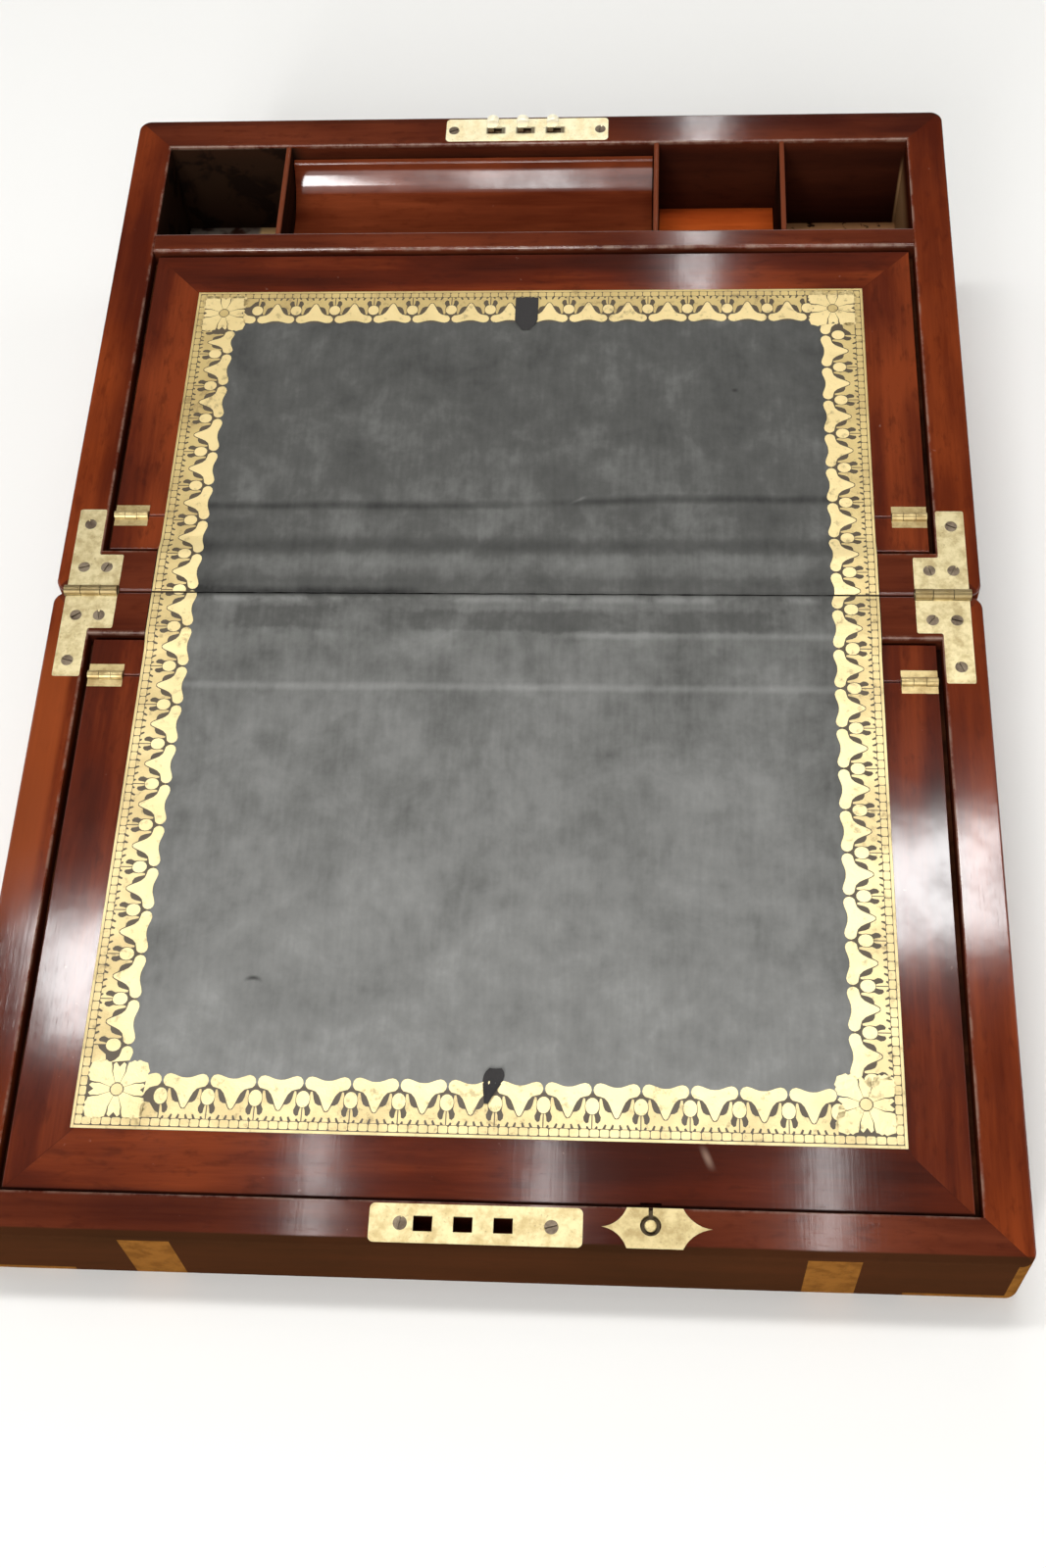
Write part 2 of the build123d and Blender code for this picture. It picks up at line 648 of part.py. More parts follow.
# The lock: a plate flush with the back wall's rim, a case under it, and a bolt whose three
# round-headed hooks stand through slots and slide together.
with BuildPart() as lock_plate:
    with BuildSketch(RIM.offset(-RIM_DROP)) as outline:
        lock_plate_outline()
    extrude(outline.sketch, amount=-LOCK_PLATE_T)
    for x in HOOKS_X:
        slot_x = (
            x + HOOK_SHANK[0] - HOOK_END_AIR,
            x + HOOK_SHANK[1] + BOLT_TRAVEL + HOOK_END_AIR,
        )
        half_slot = HOOK_T / 2 + HOOK_SIDE_AIR
        slot_y = (LOCK_Y - half_slot, LOCK_Y + half_slot)
        rim_box(slot_x, slot_y, (2 * PLATE_LOW, LOCK_PLATE_T), Mode.SUBTRACT)
    for x in LOCK_SCREWS_X:
        screw_seat(x, LOCK_Y)
lock_plate.part.label = "lock_plate"
export_step(lock_plate.part, "parts/lock_plate.step")

with BuildPart() as lock_case:
    world_box(CASE_X, CASE_Y, (CASE_LOW_Z, OVER))
    trim_above(-PLATE_LOW)
    inside_x = (CASE_X[0] + CASE_WALL, CASE_X[1] - CASE_WALL)
    inside_y = (CASE_Y[0] + CASE_WALL, CASE_Y[1] - CASE_WALL)
    world_box(inside_x, inside_y, (CASE_LOW_Z + CASE_WALL, OVER), Mode.SUBTRACT)
    with Locations(Location((LOCK_X, CASE_Y[1], KEYHOLE_Z), (90, 0, 0))):
        Cylinder(KEYHOLE_R, 4 * CASE_WALL, mode=Mode.SUBTRACT)
lock_case.part.label = "lock_case"
export_step(lock_case.part, "parts/lock_case.step")

with BuildPart() as lock_bolt:
    bolt_y = (LOCK_Y - HOOK_T / 2, LOCK_Y + HOOK_T / 2)
    for x in HOOKS_X:
        with Locations(RIM.location * Location((x, LOCK_Y, HOOK_RISE), (90, 0, 0))):
            Cylinder(HOOK_HEAD_R, HOOK_T)
    fillet(edges().filter_by(GeomType.CIRCLE), HOOK_EDGE_R)
    rim_box((HOOKS_X[0] - BOLT_LAP, HOOKS_X[2] + BOLT_LAP), bolt_y, BOLT_Z)
    for x in HOOKS_X:
        shank_x = (x + HOOK_SHANK[0], x + HOOK_SHANK[1])
        rim_box(shank_x, bolt_y, (sum(BOLT_Z) / 2, HOOK_RISE))
lock_bolt.part.label = "lock_bolt"
export_step(lock_bolt.part, "parts/lock_bolt.step")

with BuildPart() as lock_screws:
    screw(LOCK_SCREWS_X[0], LOCK_Y, 20)
    screw(LOCK_SCREWS_X[1], LOCK_Y, 75)
lock_screws.part.label = "lock_screws"
export_step(lock_screws.part, "parts/lock_screws.step")

with BuildPart() as strike_plate:
    with BuildSketch(RIM.offset(-RIM_DROP)) as outline:
        strike_plate_outline()
    extrude(outline.sketch, amount=-LOCK_PLATE_T)
    for x in HOOKS_X:
        hole_x = (x - STRIKE_HOLE[0] / 2, x + STRIKE_HOLE[0] / 2)
        hole_y = (-LOCK_Y - STRIKE_HOLE[1] / 2, -LOCK_Y + STRIKE_HOLE[1] / 2)
        rim_box(hole_x, hole_y, (2 * PLATE_LOW, LOCK_PLATE_T), Mode.SUBTRACT)
    for x in STRIKE_SCREWS_X:
        screw_seat(x, -LOCK_Y)
strike_plate.part.label = "strike_plate"
export_step(strike_plate.part, "parts/strike_plate.step")

with BuildPart() as strike_screws:
    screw(STRIKE_SCREWS_X[0], -LOCK_Y, 80)
    screw(STRIKE_SCREWS_X[1], -LOCK_Y, 15)
strike_screws.part.label = "strike_screws"
export_step(strike_screws.part, "parts/strike_screws.step")

with BuildPart() as catch_plate:
    with BuildSketch(RIM.offset(-RIM_DROP)) as outline:
        catch_plate_outline()
    extrude(outline.sketch, amount=-LOCK_PLATE_T)
    catch_cuts()
catch_plate.part.label = "catch_plate"
export_step(catch_plate.part, "parts/catch_plate.step")

# The catch: a stud that a fingertip slides, on a tongue that passes over the flap's edge.
with BuildPart() as flap_catch:
    stud_h = -CATCH_STUD_DROP - sum(TONGUE_Z) / 2
    with Locations(RIM.location * Location((CATCH_X, CATCH_Y, -CATCH_STUD_DROP - stud_h / 2))):
        Cylinder(CATCH_STUD_R, stud_h)
    fillet(edges().sort_by(RIM_UP)[-1], CATCH_STUD_EDGE)
    tongue_x = (CATCH_X - TONGUE_HALF_W, CATCH_X + TONGUE_HALF_W)
    rim_box(tongue_x, (CATCH_Y - TONGUE_BACK, TONGUE_END), TONGUE_Z)
flap_catch.part.label = "flap_catch"
export_step(flap_catch.part, "parts/flap_catch.step")

# ================= outer blocks of the two halves =================

with BuildPart() as base_block:
    half_block(1)
    rim_edges = faces().sort_by(RIM_UP)[-1].edges()
    fillet(rim_edges + faces().sort_by(Axis.Z)[0].edges(), ARRIS_R)

with BuildPart() as lid_block:
    half_block(-1)
    rim_edges = faces().sort_by(RIM_UP)[-1].edges()
    fillet(rim_edges + faces().sort_by(Axis.Z)[0].edges(), ARRIS_R)

with BuildPart() as front_straps:
    for x in STRAPS_X:
        strap(x)
    add(lid_block.part, mode=Mode.INTERSECT)
front_straps.part.label = "front_straps"
export_step(front_straps.part, "parts/front_straps.step")

with BuildPart() as corner_brasses:
    extrude(corner_plan(CORNER_BRASS, 0), amount=STRAP_T)
    extrude(corner_plan(CORNER_BRASS, STRAP_T), amount=CORNER_LIP)
    strip_top = rim_height(-HALF_DEPTH) - RIM_DROP - STRAP_TOP_GAP
    extrude(corner_plan(CORNER_STRIP, STRAP_T), amount=strip_top)
    add(lid_block.part, mode=Mode.INTERSECT)
corner_brasses.part.label = "corner_brasses"
export_step(corner_brasses.part, "parts/corner_brasses.step")

# ================= base =================

with BuildPart() as base_left_wall:
    mitred_board(
        base_block.part,
        ((-INNER_X, HINGE_WALL_IN), (-INNER_X, BACK_IN)),
        ((-HALF_W, JOINT_Y), (-HALF_W, HALF_DEPTH)),
    )
    ease_inner_edge(Axis.X)
    barrel_room(1)
    add(base_hinge_plate_left.part, mode=Mode.SUBTRACT)
    for x, y in HINGE_SCREWS:
        screw_seat(-x, y)
base_left_wall.part.label = "base_left_wall"
export_step(base_left_wall.part, "parts/base_left_wall.step")

with BuildPart() as base_right_wall:
    mitred_board(
        base_block.part,
        ((INNER_X, HINGE_WALL_IN), (INNER_X, BACK_IN)),
        ((HALF_W, JOINT_Y), (HALF_W, HALF_DEPTH)),
    )
    ease_inner_edge(-Axis.X)
    barrel_room(1)
    add(base_hinge_plate_right.part, mode=Mode.SUBTRACT)
    for x, y in HINGE_SCREWS:
        screw_seat(x, y)
base_right_wall.part.label = "base_right_wall"
export_step(base_right_wall.part, "parts/base_right_wall.step")

with BuildPart() as base_back_wall:
    mitred_board(
        base_block.part,
        ((-INNER_X, BACK_IN), (INNER_X, BACK_IN)),
        ((-HALF_W, HALF_DEPTH), (HALF_W, HALF_DEPTH)),
    )
    ease_inner_edge(-Axis.Y)
    with BuildSketch(RIM.offset(-RIM_DROP)) as outline:
        lock_plate_outline()
    extrude(outline.sketch, amount=-LOCK_PLATE_T, mode=Mode.SUBTRACT)
    world_box(CASE_X, CASE_Y, (CASE_LOW_Z, OVER), Mode.SUBTRACT)
    for x in LOCK_SCREWS_X:
        screw_seat(x, LOCK_Y)
    # Keyhole through to the lock case.
    skin = HALF_DEPTH - CASE_Y[1]
    with Locations(Location((LOCK_X, HALF_DEPTH, KEYHOLE_Z), (90, 0, 0))):
        Cylinder(KEYHOLE_R, 3 * skin, mode=Mode.SUBTRACT)
        with Locations((0, -KEY_SLOT_L / 2 - KEYHOLE_R / 2, 0)):
            Box(KEY_SLOT_W, KEY_SLOT_L + KEYHOLE_R, 3 * skin, mode=Mode.SUBTRACT)
base_back_wall.part.label = "base_back_wall"
export_step(base_back_wall.part, "parts/base_back_wall.step")

with BuildPart() as base_hinge_wall:
    mitred_board(
        base_block.part,
        ((-INNER_X, HINGE_WALL_IN), (INNER_X, HINGE_WALL_IN)),
        ((-HALF_W, JOINT_Y), (HALF_W, JOINT_Y)),
    )
    ease_inner_edge(Axis.Y)
    leather_recess(1)
    barrel_room(1)
    add(base_hinge_plate_left.part, mode=Mode.SUBTRACT)
    add(base_hinge_plate_right.part, mode=Mode.SUBTRACT)
    for x, y in HINGE_SCREWS:
        screw_seat(-x, y)
        screw_seat(x, y)
base_hinge_wall.part.label = "base_hinge_wall"
export_step(base_hinge_wall.part, "parts/base_hinge_wall.step")

with BuildPart() as base_bottom:
    world_box((-INNER_X, INNER_X), (HINGE_WALL_IN, BACK_IN), (0, BOTTOM_T))
base_bottom.part.label = "base_bottom"
export_step(base_bottom.part, "parts/base_bottom.step")

with BuildPart() as tray_wall:
    low = CELL_FLOOR_Z - CELL_FLOOR_T
    world_box((-INNER_X, INNER_X), (TRAY_WALL_NEAR, TRAY_WALL_FAR), (low, OVER))
    trim_above(RIM_DROP)
    fillet(faces().sort_by(RIM_UP)[-1].edges().filter_by(Axis.X), TRAY_WALL_R)
tray_wall.part.label = "tray_wall"
export_step(tray_wall.part, "parts/tray_wall.step")

with BuildPart() as cell_floor:
    floor_z = (CELL_FLOOR_Z - CELL_FLOOR_T, CELL_FLOOR_Z)
    world_box((-INNER_X, INNER_X), (TRAY_WALL_FAR, BACK_IN), floor_z)
cell_floor.part.label = "cell_floor"
export_step(cell_floor.part, "parts/cell_floor.step")

with BuildPart() as divider_left:
    divider(DIVIDERS_X[0])
divider_left.part.label = "divider_left"
export_step(divider_left.part, "parts/divider_left.step")

with BuildPart() as divider_middle:
    divider(DIVIDERS_X[1])
divider_middle.part.label = "divider_middle"
export_step(divider_middle.part, "parts/divider_middle.step")

with BuildPart() as divider_right:
    divider(DIVIDERS_X[2])
divider_right.part.label = "divider_right"
export_step(divider_right.part, "parts/divider_right.step")

with BuildPart() as tray_rests:
    left = DIVIDERS_X[0] + DIVIDER_T / 2
    right = DIVIDERS_X[1] - DIVIDER_T / 2
    for ends in ((left, left + REST_W), (right - REST_W, right)):
        world_box(ends, (TRAY_WALL_FAR, BACK_IN), (CELL_FLOOR_Z, TRAY_BOTTOM_Z))
tray_rests.part.label = "tray_rests"
export_step(tray_rests.part, "parts/tray_rests.step")

with BuildPart() as raised_floor:
    step_x = (
        DIVIDERS_X[1] + DIVIDER_T / 2 + RAISED_AIR,
        DIVIDERS_X[2] - DIVIDER_T / 2 - RAISED_AIR,
    )
    step_z = (CELL_FLOOR_Z, CELL_FLOOR_Z + RAISED_T)
    world_box(step_x, (TRAY_WALL_FAR, BACK_IN), step_z)
raised_floor.part.label = "raised_floor"
export_step(raised_floor.part, "parts/raised_floor.step")

# The pen tray is one scooped block, its lips parallel to the rim, that lifts straight out.
with BuildPart() as pen_tray:
    tray_x = (
        DIVIDERS_X[0] + DIVIDER_T / 2 + TRAY_END_AIR,
        DIVIDERS_X[1] - DIVIDER_T / 2 - TRAY_END_AIR,
    )
    near_top = rim_height(TRAY_NEAR) - TRAY_DROP
    far_top = rim_height(TRAY_FAR) - TRAY_DROP
    near_lip = (TRAY_NEAR + TRAY_LIP, rim_height(TRAY_NEAR + TRAY_LIP) - TRAY_DROP)
    far_lip = (TRAY_FAR - TRAY_LIP, rim_height(TRAY_FAR - TRAY_LIP) - TRAY_DROP)
    end_plane = Plane(origin=(tray_x[0], 0, 0), x_dir=(0, 1, 0), z_dir=(1, 0, 0))
    with BuildSketch(end_plane) as section:
        with BuildLine():
            Polyline(
                near_lip,
                (TRAY_NEAR, near_top),
                (TRAY_NEAR, TRAY_BOTTOM_Z),
                (TRAY_FAR, TRAY_BOTTOM_Z),
                (TRAY_FAR, far_top),
                far_lip,
            )
            ThreePointArc(far_lip, ((TRAY_NEAR + TRAY_FAR) / 2, TRAY_LOW), near_lip)
        make_face()
        fillet(section.vertices().sort_by(Axis.Y)[2:], TRAY_LIP_R)
    extrude(section.sketch, amount=tray_x[1] - tray_x[0])
pen_tray.part.label = "pen_tray"
export_step(pen_tray.part, "parts/pen_tray.step")

with BuildPart() as rear_ledges:
    flap_ledges(1, REAR_FLAP_END, TRAY_WALL_NEAR)
rear_ledges.part.label = "rear_ledges"
export_step(rear_ledges.part, "parts/rear_ledges.step")

with BuildPart() as rear_strip:
    strip_board(1)
    add(rear_butts_on_strip.part, mode=Mode.SUBTRACT)
rear_strip.part.label = "rear_strip"
export_step(rear_strip.part, "parts/rear_strip.step")

with BuildPart() as base_leather:
    leather_strip(1)
base_leather.part.label = "base_leather"
export_step(base_leather.part, "parts/base_leather.step")

with BuildPart() as rear_flap:
    flap_board(1, REAR_FLAP_END, LEATHER_REAR_END)
    add(rear_butts_on_flap.part, mode=Mode.SUBTRACT)
rear_flap.part.label = "rear_flap"
export_step(rear_flap.part, "parts/rear_flap.step")

with BuildPart() as rear_flap_leather:
    flap_leather(1, LEATHER_REAR_END)
rear_flap_leather.part.label = "rear_flap_leather"
export_step(rear_flap_leather.part, "parts/rear_flap_leather.step")

with BuildPart() as rear_tab:
    tab_y = LEATHER_REAR_END - REAR_TAB_INSET
    rim_box(
        (REAR_TAB_X - TAB_W / 2, REAR_TAB_X + TAB_W / 2),
        (tab_y - TAB_L / 2, tab_y + TAB_L / 2),
        (-FLAP_DROP, -FLAP_DROP + TAB_T),
    )
rear_tab.part.label = "rear_tab"
export_step(rear_tab.part, "parts/rear_tab.step")

# ================= lid =================

with BuildPart() as lid_left_wall:
    mitred_board(
        lid_block.part,
        ((-INNER_X, -HINGE_WALL_IN), (-INNER_X, FRONT_IN)),
        ((-HALF_W, -JOINT_Y), (-HALF_W, -HALF_DEPTH)),
    )
    ease_inner_edge(Axis.X)
    barrel_room(-1)
    add(lid_hinge_plate_left.part, mode=Mode.SUBTRACT)
    add(corner_brasses.part, mode=Mode.SUBTRACT)
    for x, y in HINGE_SCREWS:
        screw_seat(-x, -y)
lid_left_wall.part.label = "lid_left_wall"
export_step(lid_left_wall.part, "parts/lid_left_wall.step")

with BuildPart() as lid_right_wall:
    mitred_board(
        lid_block.part,
        ((INNER_X, -HINGE_WALL_IN), (INNER_X, FRONT_IN)),
        ((HALF_W, -JOINT_Y), (HALF_W, -HALF_DEPTH)),
    )
    ease_inner_edge(-Axis.X)
    barrel_room(-1)
    add(lid_hinge_plate_right.part, mode=Mode.SUBTRACT)
    add(corner_brasses.part, mode=Mode.SUBTRACT)
    for x, y in HINGE_SCREWS:
        screw_seat(x, -y)
lid_right_wall.part.label = "lid_right_wall"
export_step(lid_right_wall.part, "parts/lid_right_wall.step")

with BuildPart() as lid_hinge_wall:
    mitred_board(
        lid_block.part,
        ((-INNER_X, -HINGE_WALL_IN), (INNER_X, -HINGE_WALL_IN)),
        ((-HALF_W, -JOINT_Y), (HALF_W, -JOINT_Y)),
    )
    ease_inner_edge(-Axis.Y)
    leather_recess(-1)
    barrel_room(-1)
    add(lid_hinge_plate_left.part, mode=Mode.SUBTRACT)
    add(lid_hinge_plate_right.part, mode=Mode.SUBTRACT)
    for x, y in HINGE_SCREWS:
        screw_seat(-x, -y)
        screw_seat(x, -y)
lid_hinge_wall.part.label = "lid_hinge_wall"
export_step(lid_hinge_wall.part, "parts/lid_hinge_wall.step")

with BuildPart() as lid_front_wall:
    mitred_board(
        lid_block.part,
        ((-INNER_X, FRONT_IN), (INNER_X, FRONT_IN)),
        ((-HALF_W, -HALF_DEPTH), (HALF_W, -HALF_DEPTH)),
    )
    ease_inner_edge(Axis.Y)
    add(front_straps.part, mode=Mode.SUBTRACT)
    add(corner_brasses.part, mode=Mode.SUBTRACT)
    with BuildSketch(RIM.offset(-RIM_DROP)) as outline:
        strike_plate_outline()
    extrude(outline.sketch, amount=-LOCK_PLATE_T, mode=Mode.SUBTRACT)
    # Mortise under the strike plate, long enough for the hooks to slide.
    half_mortise = HOOK_HEAD_R + STRIKE_SIDE_AIR
    rim_box(
        (HOOKS_X[0] - BOLT_LAP, HOOKS_X[2] + BOLT_LAP + BOLT_TRAVEL),
        (-LOCK_Y - half_mortise, -LOCK_Y + half_mortise),
        (-STRIKE_DEPTH, 0),
        Mode.SUBTRACT,
    )
    for x in STRIKE_SCREWS_X:
        screw_seat(x, -LOCK_Y)
    with BuildSketch(RIM.offset(-RIM_DROP)) as outline:
        catch_plate_outline()
    extrude(outline.sketch, amount=-LOCK_PLATE_T, mode=Mode.SUBTRACT)
    # Mortise for the catch's tongue, open to the inside.
    rim_box(
        (CATCH_X - TONGUE_HALF_W - TONGUE_AIR, CATCH_X + TONGUE_HALF_W + TONGUE_AIR),
        (CATCH_Y - TONGUE_BACK - TONGUE_AIR, FRONT_IN + FRONT_T / 2),
        (TONGUE_Z[0] - CATCH_AIR, PLATE_LOW),
        Mode.SUBTRACT,
    )
lid_front_wall.part.label = "lid_front_wall"
export_step(lid_front_wall.part, "parts/lid_front_wall.step")

with BuildPart() as lid_top_board:
    world_box((-INNER_X, INNER_X), (FRONT_IN, -HINGE_WALL_IN), (0, TOP_T))
    add(front_straps.part, mode=Mode.SUBTRACT)
    add(corner_brasses.part, mode=Mode.SUBTRACT)
lid_top_board.part.label = "lid_top_board"
export_step(lid_top_board.part, "parts/lid_top_board.step")

with BuildPart() as front_ledges:
    flap_ledges(-1, FRONT_FLAP_END, FRONT_IN)
front_ledges.part.label = "front_ledges"
export_step(front_ledges.part, "parts/front_ledges.step")

with BuildPart() as front_strip:
    strip_board(-1)
    add(front_butts_on_strip.part, mode=Mode.SUBTRACT)
front_strip.part.label = "front_strip"
export_step(front_strip.part, "parts/front_strip.step")

with BuildPart() as lid_leather:
    leather_strip(-1)
lid_leather.part.label = "lid_leather"
export_step(lid_leather.part, "parts/lid_leather.step")

with BuildPart() as front_flap:
    flap_board(-1, FRONT_FLAP_END, LEATHER_FRONT_END)
    add(front_butts_on_flap.part, mode=Mode.SUBTRACT)
    # Rebate that the catch's tongue slides over.
    rim_box(
        (CATCH_X - TONGUE_HALF_W - TONGUE_AIR, CATCH_X + TONGUE_HALF_W + TONGUE_AIR),
        (-FRONT_WALL_Y, -FRONT_FLAP_END + REBATE_W),
        (TONGUE_Z[0] - 2 * CATCH_AIR, 0),
        Mode.SUBTRACT,
    )
front_flap.part.label = "front_flap"
export_step(front_flap.part, "parts/front_flap.step")

with BuildPart() as front_flap_leather:
    flap_leather(-1, LEATHER_FRONT_END)
front_flap_leather.part.label = "front_flap_leather"
export_step(front_flap_leather.part, "parts/front_flap_leather.step")

with BuildPart() as front_tab:
    tab_y = LEATHER_FRONT_END - FRONT_TAB_INSET
    rim_box(
        (FRONT_TAB_X - TAB_W / 2, FRONT_TAB_X + TAB_W / 2),
        (-tab_y - TAB_L / 2, -tab_y + TAB_L / 2),
        (-FLAP_DROP, -FLAP_DROP + 2 * TAB_T),
    )
front_tab.part.label = "front_tab"
export_step(front_tab.part, "parts/front_tab.step")
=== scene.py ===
import bpy, bmesh, math
from mathutils import Euler, Matrix, Vector, noise


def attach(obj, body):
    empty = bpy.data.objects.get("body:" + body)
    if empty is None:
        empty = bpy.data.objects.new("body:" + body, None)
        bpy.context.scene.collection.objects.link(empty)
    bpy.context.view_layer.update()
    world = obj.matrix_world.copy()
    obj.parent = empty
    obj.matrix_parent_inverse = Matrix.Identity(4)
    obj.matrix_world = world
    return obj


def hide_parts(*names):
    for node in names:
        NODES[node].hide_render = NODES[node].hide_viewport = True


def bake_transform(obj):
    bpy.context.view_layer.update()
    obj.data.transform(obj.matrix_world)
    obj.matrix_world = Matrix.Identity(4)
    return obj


# A Victorian mahogany writing slope, open on a pale floor. The frame and the scene are in
# metres; the materials, the leather and the tooling are in mm in the rim plane's axes:
# x to the right, y away from the camera with the hinge at 0, z out of the plane.
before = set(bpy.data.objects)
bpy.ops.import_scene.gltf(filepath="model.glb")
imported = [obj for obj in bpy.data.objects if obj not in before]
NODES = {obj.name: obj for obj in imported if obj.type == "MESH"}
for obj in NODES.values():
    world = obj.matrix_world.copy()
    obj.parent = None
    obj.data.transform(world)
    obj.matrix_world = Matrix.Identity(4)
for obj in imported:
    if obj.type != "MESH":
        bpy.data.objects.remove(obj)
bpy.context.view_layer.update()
MM = 0.001

# ---- the rim plane, through the hinge axis ----
SLOPE = math.radians(7.2)
HINGE_HEIGHT = 63.0 * MM
RIM = Matrix.Translation((0, 0, HINGE_HEIGHT)) @ Matrix.Rotation(SLOPE, 4, "X")
UNRIM = RIM.inverted()


def rim_box(node):
    """Lowest and highest x, y and z of a node in the rim plane's axes, in mm."""
    points = [UNRIM @ v.co for v in NODES[node].data.vertices]
    low = [min(p[i] for p in points) / MM for i in range(3)]
    high = [max(p[i] for p in points) / MM for i in range(3)]
    return low, high


# ---- camera ----
camera_data = bpy.data.cameras.new("camera")
camera_data.lens = 41.34
camera_data.sensor_width = 36.0
camera_data.clip_start = 0.01
camera = bpy.data.objects.new("camera", camera_data)
camera.location = (0.05155, -0.43255, 0.58801)
camera.rotation_euler = Euler(map(math.radians, (33.5006, 2.8457, 2.7359)))
bpy.context.scene.collection.objects.link(camera)
bpy.context.scene.camera = camera
bpy.context.scene.view_settings.view_transform = "Standard"


# ---- colour and node helpers ----
def rgb(r, g, b):
    """Linear colour from three values of 0 to 255."""
    out = []
    for value in (r, g, b):
        c = value / 255
        out.append(c / 12.92 if c <= 0.04045 else ((c + 0.055) / 1.055) ** 2.4)
    return (*out, 1.0)


class Look:
    """A node material, built with short calls, in the rim plane's axes in mm.

    With rest, each point has its place at rest, read from the mesh's rest attribute.
    """

    def __init__(self, name, rest=False):
        self.material = bpy.data.materials.new(name)
        self.material.use_nodes = True
        self.tree = self.material.node_tree
        self.tree.nodes.clear()
        self.output = self.tree.nodes.new("ShaderNodeOutputMaterial")
        if rest:
            source = self.node("Attribute", attribute_name="rest").outputs["Vector"]
        else:
            source = self.node("TexCoord").outputs["Object"]
        turned = self.node("Mapping", {"Vector": source}, vector_type="TEXTURE")
        turned.inputs["Location"].default_value = (0, 0, HINGE_HEIGHT)
        turned.inputs["Rotation"].default_value = (SLOPE, 0, 0)
        turned.inputs["Scale"].default_value = (MM, MM, MM)
        self.at = turned.outputs[0]
        parts = self.node("SeparateXYZ", {0: self.at})
        self.x, self.y, self.z = parts.outputs

    def put(self, socket, value):
        """Link a socket to an input, or set its value."""
        if isinstance(value, bpy.types.NodeSocket):
            self.tree.links.new(value, socket)
        else:
            socket.default_value = value

    def node(self, kind, inputs=None, **settings):
        made = self.tree.nodes.new("ShaderNode" + kind)
        for key, value in settings.items():
            setattr(made, key, value)
        for key, value in (inputs or {}).items():
            self.put(made.inputs[key], value)
        return made

    def math(self, operation, first, *others):
        """A sum, product, minimum or the like of two or more values, or a function of one."""
        result = first
        for value in others or (0.0,):
            result = self.node("Math", {0: result, 1: value}, operation=operation).outputs[0]
        return result

    def mul(self, *values):
        return self.math("MULTIPLY", *values)

    def plus(self, *values):
        return self.math("ADD", *values)

    def less(self, a, b):
        return self.math("SUBTRACT", a, b)

    def lowest(self, *values):
        return self.math("MINIMUM", *values)

    def highest(self, *values):
        return self.math("MAXIMUM", *values)

    def size(self, a):
        return self.math("ABSOLUTE", a)

    def invert(self, a):
        return self.math("SUBTRACT", 1.0, a)

    def step(self, value, low, high):
        """0 below low, 1 above high, smooth between. low may be the higher one."""
        inputs = {0: value, 1: low, 2: high, 3: 0.0, 4: 1.0}
        return self.node("MapRange", inputs, interpolation_type="SMOOTHSTEP").outputs[0]

    def near(self, value, middle, reach):
        """1 at middle, falling smoothly to 0 at reach from it."""
        return self.step(self.size(self.less(value, middle)), reach, 0.0)

    def noise(self, scale, detail=3.0, rough=0.55, bend=0.0, seed=0.0, vector=None):
        """Noise of 0 to 1 about 0.5, stretched to a length in mm along each axis."""
        lengths = scale if isinstance(scale, tuple) else (scale,) * 3
        scaling = {0: vector or self.at, 1: tuple(1 / v for v in lengths)}
        where = self.node("VectorMath", scaling, operation="MULTIPLY").outputs[0]
        inputs = {"Vector": where, "W": seed, "Scale": 1.0}
        inputs.update({"Detail": detail, "Roughness": rough, "Distortion": bend})
        return self.node("TexNoise", inputs, noise_dimensions="4D").outputs["Fac"]

    def mix(self, share, a, b):
        """Colour a, with a share of colour b over it."""
        return self.node("Mix", {0: share, 6: a, 7: b}, data_type="RGBA").outputs[2]

    def cover(self, colour, mask, strength, over):
        """A colour with another one over it at a strength, where the mask is 1."""
        return self.mix(self.mul(mask, strength), colour, over)

    def ramp(self, value, *stops):
        """Colour from a value, by stops of (value, colour)."""
        made = self.node("ValToRGB", {0: value})
        ramp = made.color_ramp
        while len(ramp.elements) < len(stops):
            ramp.elements.new(0.5)
        for element, (place, colour) in zip(ramp.elements, stops):
            element.position = place
            element.color = colour
        return made.outputs[0]

    def bump(self, height, strength, depth):
        """Bump from a height of 0 to 1 that stands for depth mm."""
        inputs = {"Height": height, "Strength": strength, "Distance": depth * MM}
        return self.node("Bump", inputs).outputs[0]

    def finish(self, **inputs):
        """End the material in its shader, whose inputs are named with _ for a space."""
        shader = self.node("BsdfPrincipled")
        for key, value in inputs.items():
            self.put(shader.inputs[key.replace("_", " ")], value)
        self.tree.links.new(shader.outputs[0], self.output.inputs[0])
        return self.material


def dress(material, *names):
    """Give every one of these nodes one material on all its faces."""
    for name in names:
        mesh = NODES[name].data
        mesh.materials.clear()
        mesh.materials.append(material)
        mesh.polygons.foreach_set("material_index", [0] * len(mesh.polygons))


# ---- mahogany, and the places where its look changes ----
INNER_X = 159.5
CELLS = (179.5, 229.2)
TRAY_WALL_Y = 170.2
FRONT_IN = 229.9
RAIL_Y = 18.65
FLAP_HALF = 157.3
FLAP_ENDS = (168.0, 229.6)
LEATHER_HALF = 137.5
BED_Y = 20.0
END_FACE = (241.5, 242.4)
SIDE_FACE = (174.3, 174.8)


